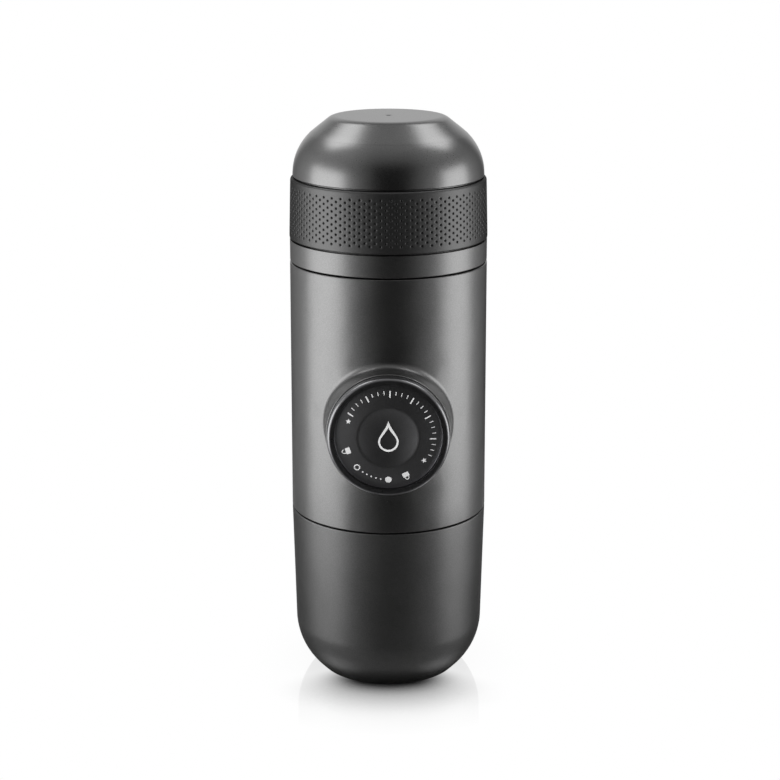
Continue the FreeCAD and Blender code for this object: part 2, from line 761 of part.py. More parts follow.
def make_shower_screw():
    screw = turned(
        "shower_screw",
        [
            ("tip_middle", "0", "0 - shower_screw_length"),
            ("tip", "screw_radius", "0 - shower_screw_length"),
            ("shank_top", "screw_radius", "shower_thickness"),
            ("head_edge", "screw_head", "shower_thickness"),
            ("head_top", "shower_head_top", "shower_thickness + shower_head_height"),
            ("head_middle", "0", "shower_thickness + shower_head_height"),
        ],
    )
    bind(screw, Placement__Base__z="shower_seat")
    return screw


def make_flat_ring(name, inner, outer, foot, top):
    return turned(
        name,
        [
            ("inner_foot", inner, foot),
            ("outer_foot", outer, foot),
            ("outer_top", outer, top),
            ("inner_top", inner, top),
        ],
    )


def make_chamber_seal():
    inner = "chamber_radius + seal_inset"
    outer = f"{inner} + seal_ring_width"
    return make_flat_ring("chamber_seal", inner, outer, "brew_neck_top", "basket_rim_under")


def make_filter_basket():
    basket = turned(
        "filter_basket",
        [
            ("floor_middle", "0", "0"),
            ("floor_edge", "basket_radius", "0"),
            ("wall_top", "basket_radius", "basket_depth"),
            ("rim_under", "basket_rim", "basket_depth"),
            ("rim_top", "basket_rim", "basket_depth + basket_wall"),
            ("mouth", "basket_radius - basket_wall", "basket_depth + basket_wall"),
            ("inner_foot", "basket_radius - basket_wall", "basket_wall"),
            ("inner_middle", "0", "basket_wall"),
        ],
        {"2 * basket_wall": ["floor_edge"], "basket_wall": ["inner_foot"]},
    )
    perforate(basket, "filter_basket", "basket_radius - plain_edge", "basket_wall")
    bind(basket, Placement__Base__z="basket_under")
    return basket


def make_body_shell():
    """Painted sleeve with the boss of the piston button growing out of its front."""
    body = document.addObject("PartDesign::Body", "body_shell")
    sleeve = outline_sketch(
        body,
        "sleeve_outline",
        [
            ("foot_middle", "0", "body_foot"),
            ("foot_edge", "hull_radius", "body_foot"),
            ("top_edge", "body_top_radius", "body_top"),
            ("top_middle", "0", "body_top"),
        ],
    )
    sleeve_turn = body.newObject("PartDesign::Revolution", "sleeve_turn")
    sleeve_turn.Profile = sleeve
    sleeve_turn.ReferenceAxis = (sleeve, ["V_Axis"])
    document.recompute()
    edges = [sleeve.getPoint(1, 1), sleeve.getPoint(2, 1)]
    round_off(body, "sleeve", edges, "edge_break")

    # the boss starts at its front face and widens inwards with its draft
    disc = body.newObject("Sketcher::SketchObject", "boss_disc")
    disc.AttachmentSupport = [(origin_feature(body, "XZ_Plane"), "")]
    disc.MapMode = "FlatFace"
    disc.AttachmentOffset = Placement(Vector(0, 0, number("boss_reach")), Rotation())
    disc.setExpression("AttachmentOffset.Base.z", formula("boss_reach"))
    add_disc(disc, "DistanceY", "dial_height", "boss_radius")
    pad = body.newObject("PartDesign::Pad", "boss_pad")
    pad.Profile = disc
    pad.Reversed = True
    bind(pad, Length="boss_reach / 2", TaperAngle="boss_draft")
    document.recompute()

    root = [
        f"Edge{index}"
        for index, edge in enumerate(pad.Shape.Edges, 1)
        if is_boss_root(edge)
    ]
    blend = body.newObject("PartDesign::Fillet", "boss_blend")
    blend.Base = (pad, root)
    bind(blend, Radius="boss_round")
    document.recompute()
    reach = number("boss_reach")
    front = [
        f"Edge{index}"
        for index, edge in enumerate(blend.Shape.Edges, 1)
        if isinstance(edge.Curve, Part.Circle) and abs(edge.CenterOfMass.y + reach) < 1e-4
    ]
    lip = body.newObject("PartDesign::Fillet", "boss_lip")
    lip.Base = (blend, front)
    bind(lip, Radius="edge_break")
    document.recompute()

    cavity = outline_sketch(
        body,
        "cavity_outline",
        [
            ("foot_middle", "0", f"body_foot - {CUT_PAST}"),
            ("foot_edge", "body_bore", f"body_foot - {CUT_PAST}"),
            ("top_edge", "body_bore", f"body_top + {CUT_PAST}"),
            ("top_middle", "0", f"body_top + {CUT_PAST}"),
        ],
    )
    groove = body.newObject("PartDesign::Groove", "cavity")
    groove.Profile = cavity
    groove.ReferenceAxis = (cavity, ["V_Axis"])
    document.recompute()

    seat = body.newObject("Sketcher::SketchObject", "guide_seat_disc")
    seat.AttachmentSupport = [(origin_feature(body, "XZ_Plane"), "")]
    seat.MapMode = "FlatFace"
    add_disc(seat, "DistanceY", "dial_height", "guide_radius + fit")
    hole = body.newObject("PartDesign::Pocket", "guide_seat")
    hole.Profile = seat
    hole.Reversed = True
    bind(hole, Length=f"boss_reach + {CUT_PAST}")
    document.recompute()
    return body


def add_disc(sketch, direction, distance, radius):
    """A circle whose middle lies on one axis of the sketch, the given distance along it."""
    along, size = number(distance), number(radius)
    on_x = direction == "DistanceX"
    middle = Vector(along, 0, 0) if on_x else Vector(0, along, 0)
    sketch.addGeometry(Part.Circle(middle, Vector(0, 0, 1), size), False)
    sketch.addConstraint(Sketcher.Constraint("PointOnObject", 0, 3, -1 if on_x else -2))
    place = sketch.addConstraint(Sketcher.Constraint(direction, 0, 3, along))
    sketch.setExpression(f"Constraints[{place}]", formula(distance))
    width = sketch.addConstraint(Sketcher.Constraint("Radius", 0, size))
    sketch.setExpression(f"Constraints[{width}]", formula(radius))


def is_boss_root(edge):
    """True for the curved edge where the boss meets the sleeve."""
    if isinstance(edge.Curve, (Part.Circle, Part.Line)):
        return False
    box = edge.BoundBox
    near_axis = abs((box.ZMin + box.ZMax) / 2 - number("dial_height")) < number("boss_radius")
    return near_axis and box.YMax < 0


def make_piston_guide():
    """Tube with a collar; its two slots let the lugs through and leave the button room to turn."""
    tube = along_piston("guide_tube", "guide_radius", "guide_back", "boss_reach - guide_back - fit")
    collar = along_piston("guide_collar", "guide_radius + guide_flange", "guide_back", "guide_flange")
    depth = "boss_reach - guide_back"
    tools = [along_piston("guide_bore_hole", "guide_bore", "guide_back", depth, past="both")]
    for index, start in enumerate((0, 180)):
        slot = along_piston(
            f"lock_slot_{index}",
            "guide_bore + lug_height",
            "guide_back",
            "skirt_end + lug_length + stroke + slide_gap - guide_back",
            "lug_angle + lock_turn + 2 * lug_play",
            turn=start - number("lug_play"),
            past="foot",
        )
        tools.append(slot)
    return cut("piston_guide", joined("guide_solid", [tube, collar]), tools)


def make_piston_button():
    screw_seat = "dial_back - screw_head_height - fit"
    pocket = "screw_head + 2 * fit"
    dial_seat = "dial_radius + fit"
    head = turned(
        "button_head",
        [
            ("hub_bore", "rod_radius + fit / 2", "hub_end"),
            ("hub_edge", "hub_radius", "hub_end"),
            ("hub_root", "hub_radius", "button_back"),
            ("skirt_root", "skirt_radius - skirt_wall", "button_back"),
            ("skirt_inside", "skirt_radius - skirt_wall", "skirt_end"),
            ("skirt_outside", "skirt_radius", "skirt_end"),
            ("skirt_top", "skirt_radius", "button_back"),
            ("back_edge", "button_radius", "button_back"),
            ("front_edge", "button_radius", "button_face"),
            ("rim_inside", dial_seat, "button_face"),
            ("seat_edge", dial_seat, "dial_back"),
            ("pocket_edge", pocket, "dial_back"),
            ("pocket_foot", pocket, screw_seat),
            ("shank_top", "screw_radius + fit", screw_seat),
            ("shank_foot", "screw_radius + fit", "rod_end"),
            ("socket_edge", "rod_radius + fit / 2", "rod_end"),
        ],
        {"button_round": ["front_edge"]},
        on_piston_axis=True,
    )
    lugs = []
    for index, start in enumerate((0, 180)):
        sector = along_piston(
            f"lug_sector_{index}",
            "skirt_radius + lug_height - slide_gap / 2",
            "skirt_end",
            "lug_length",
            "lug_angle",
            turn=start,
        )
        middle = along_piston(
            f"lug_middle_{index}",
            "skirt_radius - skirt_wall / 2",
            "skirt_end",
            "lug_length",
            past="both",
        )
        lugs.append(cut(f"lug_{index}", sector, [middle]))
    return joined("piston_button", [head] + lugs)


def make_dial_plate():
    """Round insert whose middle is a shallow dish for the thumb."""
    plate = turned(
        "dial_blank",
        [
            ("back_middle", "0", "dial_back"),
            ("back_edge", "dial_radius", "dial_back"),
            ("face_edge", "dial_radius", "dial_face"),
            ("face_middle", "0", "dial_face"),
        ],
        on_piston_axis=True,
    )
    ball = document.addObject("Part::Sphere", "thumb_ball")
    curve = "((dish_radius * dish_radius + dish_depth * dish_depth) / (2 * dish_depth))"
    bind(
        ball,
        Radius=curve,
        Placement__Base__y=f"0 - (dial_face - dish_depth + {curve})",
        Placement__Base__z="dial_height",
    )
    return cut("dial_plate", plate, [ball])


def make_plunger():
    groove = "plunger_radius - seal_depth"
    bore = "screw_radius + fit / 2"
    corners = [("tip_middle", "0", "plunger_tip"), ("tip_edge", "plunger_radius", "plunger_tip")]
    for index, foot in enumerate(seal_feet(), 1):
        top = f"{foot} + seal_width"
        corners += [
            (f"seal_{index}_foot", "plunger_radius", foot),
            (f"seal_{index}_foot_deep", groove, foot),
            (f"seal_{index}_top_deep", groove, top),
            (f"seal_{index}_top", "plunger_radius", top),
        ]
    corners += [
        ("head_top", "plunger_radius", "plunger_head"),
        ("rod_foot", "rod_radius", "plunger_head"),
        ("rod_top", "rod_radius", "rod_end - fit"),
        ("hole_edge", bore, "rod_end - fit"),
        ("hole_foot", bore, "rod_end - button_screw_length"),
        ("hole_middle", "0", "rod_end - button_screw_length"),
    ]
    return turned("plunger", corners, on_piston_axis=True)


def seal_feet():
    """Where the grooves of the two plunger seals start."""
    return ["plunger_tip + seal_land", "plunger_tip + 2 * seal_land + seal_width"]


def make_plunger_seals():
    inner = "plunger_radius - seal_depth + fit / 2"
    rings = []
    for index, foot in enumerate(seal_feet(), 1):
        start, length = f"{foot} + fit / 2", "seal_width - fit"
        outside = along_piston(f"seal_outside_{index}", "pump_bore - seal_gap", start, length)
        inside = along_piston(f"seal_inside_{index}", inner, start, length, past="both")
        rings.append(cut(f"plunger_seal_{index}", outside, [inside]))
    group = document.addObject("Part::Compound", "plunger_seals")
    group.Links = rings
    return group


def make_button_screw():
    seat = "dial_back - screw_head_height"
    return turned(
        "button_screw",
        [
            ("tip_middle", "0", f"{seat} - button_screw_length"),
            ("tip", "screw_radius", f"{seat} - button_screw_length"),
            ("shank_top", "screw_radius", seat),
            ("head_foot", "screw_head", seat),
            ("head_edge", "screw_head", "dial_back - 2 * fit"),
            ("head_middle", "0", "dial_back - 2 * fit"),
        ],
        on_piston_axis=True,
    )


def make_return_spring():
    start = "(spring_seat + wire_radius + fit)"
    helix = document.addObject("Part::Helix", "spring_line")
    helix.Placement = Placement(Vector(), ON_PISTON_AXIS)
    bind(
        helix,
        Radius="spring_radius",
        Pitch="spring_pitch",
        Height=f"button_back - wire_radius - 2 * fit - {start}",
        Placement__Base__y=f"0 - {start}",
        Placement__Base__z="dial_height",
    )
    wire = document.addObject("Part::Circle", "spring_wire")
    bind(
        wire,
        Radius="wire_radius",
        Placement__Base__x="spring_radius",
        Placement__Base__y=f"0 - {start}",
        Placement__Base__z="dial_height",
    )
    spring = document.addObject("Part::Sweep", "return_spring")
    spring.Sections = [wire]
    spring.Spine = (helix, [])
    spring.Solid = True
    spring.Frenet = True
    return spring


def make_head_seal():
    inner = "chamber_radius + seal_inset + fit"
    outer = f"{inner} + seal_ring_width - 2 * fit"
    return make_flat_ring("head_seal", inner, outer, "basket_top", "head_deck_under + head_groove")


def make_outlet_head():
    """Painted ring and threaded core, with seats for band, screen, seal and nozzle."""
    groove_inner = "chamber_radius + seal_inset"
    groove_outer = f"{groove_inner} + seal_ring_width"
    groove_top = "head_deck_under + head_groove"
    return turned(
        "outlet_head",
        [
            ("skirt_inside", "head_skirt", "head_foot"),
            ("skirt_outside", "ring_radius", "head_foot"),
            ("ring_top", "ring_radius", "ring_top"),
            ("core_foot", "core_radius", "ring_top"),
            ("core_top", "core_radius", "head_deck_top"),
            ("outlet_top", "nozzle_stem + fit / 2", "head_deck_top"),
            ("outlet_foot", "nozzle_stem + fit / 2", "plenum_top"),
            ("plenum_edge", "screen_radius - screen_ledge", "plenum_top"),
            ("plenum_foot", "screen_radius - screen_ledge", "screen_top"),
            ("screen_seat", "screen_radius + fit", "screen_top"),
            ("screen_edge", "screen_radius + fit", "head_deck_under"),
            ("groove_inner", groove_inner, "head_deck_under"),
            ("groove_inner_top", groove_inner, groove_top),
            ("groove_outer_top", groove_outer, groove_top),
            ("groove_outer", groove_outer, "head_deck_under"),
            ("deck_edge", "head_skirt", "head_deck_under"),
        ],
        {"edge_break": ["skirt_outside"]},
    )


def make_grip_band():
    bore = "core_radius + fit"
    return turned(
        "grip_band",
        [
            ("bore_foot", bore, "band_foot"),
            ("foot_edge", "band_foot_radius", "band_foot"),
            ("top_edge", "band_top_radius", "band_top"),
            ("bore_top", bore, "band_top"),
        ],
        {"band_round": ["top_edge"], "edge_break": ["foot_edge"]},
    )


def make_outlet_screen():
    screen = turned(
        "outlet_screen",
        [
            ("middle_foot", "0", "0"),
            ("edge_foot", "screen_radius", "0"),
            ("edge_top", "screen_radius", "screen_thickness"),
            ("middle_top", "0", "screen_thickness"),
        ],
    )
    perforate(screen, "outlet_screen", "spray_radius", "screen_thickness")
    bind(screen, Placement__Base__z="head_deck_under")
    return screen


def make_outlet_nozzle():
    return turned(
        "outlet_nozzle",
        [
            ("stem_inside", "nozzle_bore", "plenum_top + fit"),
            ("stem_outside", "nozzle_stem", "plenum_top + fit"),
            ("stem_top", "nozzle_stem", "head_deck_top"),
            ("foot_edge", "nozzle_flange", "head_deck_top"),
            ("foot_top", "nozzle_flange", "head_deck_top + nozzle_edge"),
            ("spout_root", "nozzle_root", "head_deck_top + nozzle_flange_height"),
            ("spout_tip", "nozzle_tip", "head_deck_top + nozzle_height"),
            ("spout_mouth", "nozzle_bore", "head_deck_top + nozzle_height"),
        ],
    )


def make_cup():
    # the wall keeps its thickness round the corner between wall and slope
    inner_corner = "(cup_corner - cup_wall * (cup_slope_length - cup_slope_rise) / cup_slope)"
    base_under = "(cup_top - cup_floor)"
    base_corner = f"({base_under} - {inner_corner}) * cup_slope / cup_slope_rise"
    return turned(
        "cup",
        [
            ("mouth_inside", "cup_skirt_radius - cup_skirt_wall", "cup_mouth"),
            ("mouth_outside", "cup_skirt_radius", "cup_mouth"),
            ("skirt_top", "cup_skirt_radius", "cup_shoulder"),
            ("shoulder", "cup_shoulder_radius", "cup_shoulder"),
            ("corner", "cup_corner_radius", "cup_corner"),
            ("base_edge", "cup_base_radius", "cup_top"),
            ("gate_edge", "gate_radius", "cup_top"),
            ("gate_middle", "0", "cup_top - gate_depth"),
            ("base_inside", "0", base_under),
            ("base_corner", f"cup_corner_radius - cup_wall - {base_corner}", base_under),
            ("inner_corner", "cup_corner_radius - cup_wall", inner_corner),
        ],
        {
            "cup_round": ["corner"],
            "cup_round - cup_wall": ["inner_corner"],
            "cup_base_round": ["base_edge"],
            "edge_break": ["shoulder"],
        },
    )


PIECES = {
    "water_tank": make_water_tank(),
    "tank_seal": make_tank_seal(),
    "body_shell": make_body_shell(),
    "tank_neck": make_tank_neck(),
    "intake_strainer": make_intake_strainer(),
    "vent_valve": make_vent_valve(),
    "intake_pipe": make_pipe("intake_pipe", "lower_deck_top + fit", "inlet_seat - fit"),
    "pump_block": make_pump_block(),
    "inlet_valve": make_valve("inlet_valve", "inlet_seat"),
    "outlet_valve": make_valve("outlet_valve", "outlet_seat + fit"),
    "delivery_pipe": make_pipe(
        "delivery_pipe",
        "outlet_seat + valve_length + 2 * fit",
        "brew_floor_under + pipe_seat - fit",
    ),
    "piston_guide": make_piston_guide(),
    "return_spring": make_return_spring(),
    "brew_neck": make_brew_neck(),
    "shower_plate": make_shower_plate(),
    "shower_screw": make_shower_screw(),
    "chamber_seal": make_chamber_seal(),
    "frame_screws": make_frame_screws(),
    "plunger": make_plunger(),
    "plunger_seals": make_plunger_seals(),
    "piston_button": make_piston_button(),
    "dial_plate": make_dial_plate(),
    "button_screw": make_button_screw(),
    "head_seal": make_head_seal(),
    "outlet_head": make_outlet_head(),
    "grip_band": make_grip_band(),
    "outlet_screen": make_outlet_screen(),
    "outlet_nozzle": make_outlet_nozzle(),
    "filter_basket": make_filter_basket(),
    "cup": make_cup(),
}

document.recompute()

for item in document.Objects:
    if "Invalid" in item.State or "Error" in item.State:
        raise RuntimeError(f"{item.Label} failed: {item.State}")
for name, piece in PIECES.items():
    piece.Label = name
    if piece.Shape.isNull() or not piece.Shape.isValid():
        raise RuntimeError(f"{name} has no valid shape")

os.makedirs("parts", exist_ok=True)
for name, piece in PIECES.items():
    piece.Shape.exportStep(os.path.join("parts", name + ".step"))
    box = piece.Shape.BoundBox
    print(
        f"{name:16s} solids {len(piece.Shape.Solids)} volume {piece.Shape.Volume:9.1f} "
        f"z {box.ZMin:7.2f} {box.ZMax:7.2f} y {box.YMin:7.2f} {box.YMax:7.2f}"
    )
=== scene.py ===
"""Looks of the handheld manual espresso maker: finishes, cup, grip, threads, dial and stage.

Meshes are shaped in millimetres and placed in metres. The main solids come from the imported
model; the pieces below add what a mould, a lathe, a coat and a pad printer give them.
"""

import json
import math

import bmesh
import bpy
from mathutils import Matrix, Vector

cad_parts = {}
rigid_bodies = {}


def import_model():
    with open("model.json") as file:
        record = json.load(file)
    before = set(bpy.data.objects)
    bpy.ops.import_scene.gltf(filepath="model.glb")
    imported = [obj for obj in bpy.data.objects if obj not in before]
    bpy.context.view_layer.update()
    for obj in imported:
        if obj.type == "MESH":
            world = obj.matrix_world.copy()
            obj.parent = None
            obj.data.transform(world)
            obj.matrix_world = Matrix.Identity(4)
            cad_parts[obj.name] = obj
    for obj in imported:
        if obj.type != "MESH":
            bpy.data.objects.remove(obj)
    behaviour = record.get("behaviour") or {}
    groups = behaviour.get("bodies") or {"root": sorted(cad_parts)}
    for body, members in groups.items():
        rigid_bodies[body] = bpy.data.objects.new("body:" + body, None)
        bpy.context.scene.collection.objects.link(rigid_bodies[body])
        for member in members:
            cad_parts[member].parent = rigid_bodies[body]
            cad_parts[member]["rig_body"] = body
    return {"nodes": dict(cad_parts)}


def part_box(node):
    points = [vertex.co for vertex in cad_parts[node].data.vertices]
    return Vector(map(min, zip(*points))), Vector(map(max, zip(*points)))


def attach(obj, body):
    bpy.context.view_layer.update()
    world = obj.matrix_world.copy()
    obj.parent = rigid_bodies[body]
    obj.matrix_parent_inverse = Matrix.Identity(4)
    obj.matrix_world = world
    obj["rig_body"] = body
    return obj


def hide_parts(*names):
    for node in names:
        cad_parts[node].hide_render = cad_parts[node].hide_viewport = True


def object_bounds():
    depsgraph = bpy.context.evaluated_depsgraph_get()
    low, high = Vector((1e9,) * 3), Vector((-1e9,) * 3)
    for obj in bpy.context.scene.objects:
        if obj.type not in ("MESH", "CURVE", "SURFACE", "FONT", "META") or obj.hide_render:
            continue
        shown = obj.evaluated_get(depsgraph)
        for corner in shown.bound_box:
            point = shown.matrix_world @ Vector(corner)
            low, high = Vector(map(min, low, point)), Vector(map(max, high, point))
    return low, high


MM = 0.001

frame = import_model()
cad_low, cad_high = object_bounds()


def box_of(node):
    """Lowest and highest corner of a CAD node, in millimetres."""
    low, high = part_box(node)
    return low / MM, high / MM


# ---------------------------------------------------------------------------------------------
# Materials

BROAD_GRAIN = 12.0  # millimetres over which a finish wanders in colour and roughness
BROAD_SHARE = 0.25  # how much of the pattern that is; the rest is the fine grain
TONE_RANGE = (0.35, 0.65)  # parts of the pattern's range over which the colour changes,
ROUGH_RANGE = (0.3, 0.7)  # and the roughness


def linear(hex_colour):
    """An sRGB hex value as the linear colour that shaders take."""
    channels = [int(hex_colour[i : i + 2], 16) / 255 for i in (1, 3, 5)]
    return [c / 12.92 if c <= 0.04045 else ((c + 0.055) / 1.055) ** 2.4 for c in channels] + [1.0]


def empty_tree(owner):
    """The node tree of a material or a world, without the nodes that it starts with."""
    owner.use_nodes = True
    owner.node_tree.nodes.clear()
    return owner.node_tree


def add(tree, kind, inputs=None, **settings):
    """Adds a shader node; inputs maps its sockets to constants or to other nodes' outputs."""
    made = tree.nodes.new("ShaderNode" + kind)
    for name, value in settings.items():
        setattr(made, name, value)
    for socket, value in (inputs or {}).items():
        if isinstance(value, bpy.types.NodeSocket):
            tree.links.new(value, made.inputs[socket])
        else:
            made.inputs[socket].default_value = value
    return made


def material(name, colour, roughness, grain, depth, vary, spread, **shader):
    """A surface with a grain of a real size in millimetres.

    grain is the size of its smallest marks and depth their height; vary is how far the colour
    and spread how far the roughness wander over the surface.
    """
    made = bpy.data.materials.new(name)
    tree = empty_tree(made)
    place = add(tree, "TexCoord").outputs["Object"]
    fine = add(tree, "TexNoise", {"Vector": place, "Scale": 1 / (grain * MM), "Detail": 2.0})
    broad = add(tree, "TexNoise", {"Vector": place, "Scale": 1 / (BROAD_GRAIN * MM), "Detail": 3.0})
    mixed = add(
        tree,
        "Mix",
        {"Factor": BROAD_SHARE, "A": fine.outputs["Fac"], "B": broad.outputs["Fac"]},
        data_type="FLOAT",
    ).outputs["Result"]
    tone = add(tree, "ValToRGB", {"Fac": mixed})
    base = linear(colour)
    for stop, position, factor in zip(tone.color_ramp.elements, TONE_RANGE, (1 - vary, 1 + vary)):
        stop.position = position
        stop.color = [min(1.0, channel * factor) for channel in base[:3]] + [1.0]
    least, most = ROUGH_RANGE
    rough = add(
        tree,
        "MapRange",
        {"Value": mixed, 1: least, 2: most, 3: roughness - spread, 4: roughness + spread},
    )
    bump = add(tree, "Bump", {"Strength": 1.0, "Distance": depth * MM, "Height": fine.outputs["Fac"]})
    surface = add(
        tree,
        "BsdfPrincipled",
        {
            "Base Color": tone.outputs["Color"],
            "Roughness": rough.outputs["Result"],
            "Normal": bump.outputs["Normal"],
            **shader,
        },
    )
    add(tree, "OutputMaterial", {"Surface": surface.outputs["BSDF"]})
    return made


# Metallic lacquer sprayed on a moulded shell and baked: a satin grey whose flakes give a fine
# sparkle and a soft, wide highlight. The flakes are drawn at 0.3 mm, coarser than real ones.
lacquer = material(
    "gunmetal_metallic_lacquer",
    "#8a8a8a",
    roughness=0.36,
    grain=0.3,
    depth=0.004,
    vary=0.12,
    spread=0.03,
    Metallic=1.0,
)
# The same lacquer on the cup, where a clear coat over it leaves a smoother face.
cup_lacquer = material(
    "clear_coated_lacquer",
    "#8e8e8e",
    roughness=0.3,
    grain=0.3,
    depth=0.003,
    vary=0.1,
    spread=0.03,
    Metallic=1.0,
)
# The same lacquer on the water tank in a duller coat; its colour is painted a little darker as shade, for
# the less light the tank gets.
shaded_tank_lacquer = material(
    "shaded_metallic_lacquer",
    "#868686",
    roughness=0.42,
    grain=0.3,
    depth=0.004,
    vary=0.12,
    spread=0.03,
    **{"Metallic": 1.0, "Specular Tint": (0.4, 0.4, 0.4, 1)},
)
# Overmoulded grip of soft thermoplastic elastomer with a metallic tint, eroded matt by the mould.
grip_rubber = material(
    "eroded_elastomer",
    "#696969",
    roughness=0.4,
    grain=0.35,
    depth=0.006,
    vary=0.08,
    spread=0.04,
    **{"Metallic": 0.97, "Specular Tint": (0.3, 0.3, 0.3, 1)},
)
# Button with a thin coat of satin black chrome: dark, with clear but soft highlights.
black_chrome = material(
    "black_chrome_plating",
    "#9a9a9c",
    roughness=0.29,
    grain=1.5,
    depth=0.0004,
    vary=0.05,
    spread=0.02,
    Metallic=1.0,
)
# Dial insert of blasted aluminium, anodised black: dark with a soft metallic sheen.
dial_metal = material(
    "black_anodised_aluminium",
    "#a6a6a8",
    roughness=0.35,
    grain=0.3,
    depth=0.003,
    vary=0.06,
    spread=0.03,
    Metallic=1.0,
)
# Pad-printing ink: opaque, flat and a little uneven.
white_ink = material(
    "pad_print_white",
    "#f0f0f0",
    roughness=0.55,
    grain=0.5,
    depth=0.001,
    vary=0.03,
    spread=0.04,
)
# Glass-filled polypropylene of the inner frame: dark grey, slightly mottled by the flow.
frame_plastic = material(
    "glass_filled_polypropylene",
    "#3a3b3d",
    roughness=0.46,
    grain=0.6,
    depth=0.006,
    vary=0.08,
    spread=0.05,
)
# Acetal of the pump: natural, milky white and slippery.
pump_plastic = material(
    "natural_acetal",
    "#d9d8d2",
    roughness=0.32,
    grain=0.8,
    depth=0.002,
    vary=0.03,
    spread=0.04,
)
# Silicone rubber of the seals and valves: translucent grey, soft sheen, talc-like bloom.
silicone = material(
    "grey_silicone_rubber",
    "#8f9193",
    roughness=0.5,
    grain=0.5,
    depth=0.003,
    vary=0.05,
    spread=0.05,
    **{"Subsurface Weight": 0.2, "Subsurface Radius": (1, 1, 1), "Subsurface Scale": 0.5 * MM},
)
# Stainless steel sheet, drawn and brushed: pale and slightly warm, the brushing a fine grain.
steel = material(
    "brushed_stainless_steel",
    "#c4c2be",
    roughness=0.27,
    grain=0.25,
    depth=0.0004,
    vary=0.04,
    spread=0.03,
    Metallic=1.0,
)

PIT_START, PIT_END = 0.1, 0.65  # shares of a pit's depth over which the painted shade darkens its colour
PAINTED_PIT_TONE = 0.2  # the share of the colour that the painted shade leaves at the bottom


def paint_pit_shade(made, foot_radius, top_radius, low, high, depth, rows):
    """Paints shade into a round wall's colour at the bottom of its pits, darker the deeper it lies.

    Sizes in millimetres; the wall tapers from low to high, and the pits lie within the height
    rows, in its middle.
    """
    tree = made.node_tree
    place = add(tree, "TexCoord").outputs["Object"]
    level = add(tree, "VectorMath", {0: place, 1: (1, 1, 0)}, operation="MULTIPLY").outputs["Vector"]
    radius = add(tree, "VectorMath", {0: level}, operation="LENGTH").outputs["Value"]
    up = add(tree, "SeparateXYZ", {0: place}).outputs["Z"]
    wall = add(
        tree,
        "MapRange",
        {"Value": up, 1: low * MM, 2: high * MM, 3: foot_radius * MM, 4: top_radius * MM},
    ).outputs["Result"]
    sunk = add(tree, "Math", {0: wall, 1: radius}, operation="SUBTRACT").outputs[0]
    middle, reach = (low + high) / 2 * MM, rows / 2 * MM
    within = add(tree, "Math", {0: up, 1: middle, 2: reach}, operation="COMPARE").outputs[0]
    pit = add(tree, "Math", {0: sunk, 1: within}, operation="MULTIPLY").outputs[0]
    # painted shade: the colour darkens with the depth in the pit
    pit_shade = add(
        tree,
        "MapRange",
        {"Value": pit, 1: PIT_START * depth * MM, 2: PIT_END * depth * MM, 3: 1.0, 4: PAINTED_PIT_TONE},
    ).outputs["Result"]
    surface = tree.nodes["Principled BSDF"]
    tone = surface.inputs["Base Color"].links[0].from_socket
    shaded = add(tree, "VectorMath", {0: tone, "Scale": pit_shade}, operation="SCALE").outputs["Vector"]
    tree.links.new(shaded, surface.inputs["Base Color"])


# ---------------------------------------------------------------------------------------------
# Helpers for pieces

ALONG_CIRCLE = 0.12  # a facet that leans less than this along the circle counts as turned


def turned(points, axis, centre, steps):
    """A bmesh turned all the way round an axis from the points of its profile."""
    bm = bmesh.new()
    verts = [bm.verts.new(point) for point in points]
    edges = [bm.edges.new(pair) for pair in zip(verts, verts[1:])]
    bmesh.ops.spin(
        bm,
        geom=verts + edges,
        axis=axis,
        cent=centre,
        angle=2 * math.pi,
        steps=steps,
        use_merge=True,
        use_duplicate=False,
    )
    return bm


def thicken(bm, height):
    """Gives flat faces a thickness, upwards."""
    grown = bmesh.ops.extrude_face_region(bm, geom=bm.faces[:])["geom"]
    for vert in (item for item in grown if isinstance(item, bmesh.types.BMVert)):
        vert.co.z += height


def piece_from(bm, name, body, finish, merge=0.0005):
    """Makes an object from a bmesh in millimetres, and lets it ride on a body."""
    bmesh.ops.remove_doubles(bm, verts=bm.verts, dist=merge)
    bmesh.ops.recalc_face_normals(bm, faces=bm.faces)
    bmesh.ops.scale(bm, verts=bm.verts, vec=(MM, MM, MM))
    mesh = bpy.data.meshes.new(name)
    bm.to_mesh(mesh)
    bm.free()
    mesh.materials.append(finish)
    mesh.shade_smooth()
    piece = bpy.data.objects.new(name, mesh)
    bpy.context.scene.collection.objects.link(piece)
    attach(piece, body)
    return piece


def keep_edges(piece, angle=30):
    """Smooth faces with real edges sharp, and normals led by the large faces."""
    piece.data.set_sharp_from_angle(angle=math.radians(angle))
    weighted = piece.modifiers.new("face_weights", "WEIGHTED_NORMAL")
    weighted.mode = "FACE_AREA"
    weighted.weight = 100
    weighted.keep_sharp = True


def turned_normals(piece, axis, centre, angle=30):
    """Smooth normals of a part turned round an axis: on turned faces they have no share along
    the circle, so long facets of uneven width don't show."""
    mesh = piece.data
    limit = math.cos(math.radians(angle))
    facets = [(polygon.normal.copy(), polygon.area) for polygon in mesh.polygons]
    around = [[] for _ in mesh.vertices]
    for polygon in mesh.polygons:
        for corner in polygon.vertices:
            around[corner].append(facets[polygon.index])
    normals = []
    for polygon in mesh.polygons:
        own = facets[polygon.index][0]
        for corner in polygon.vertices:
            normal = sum((n * area for n, area in around[corner] if n.dot(own) > limit), Vector())
            circle = axis.cross(mesh.vertices[corner].co - centre).normalized()
            if abs(own.dot(circle)) < ALONG_CIRCLE:
                normal -= circle * normal.dot(circle)
            normals.append(normal.normalized())
    mesh.normals_split_custom_set(normals)


# ---------------------------------------------------------------------------------------------
# CAD nodes that keep their shape

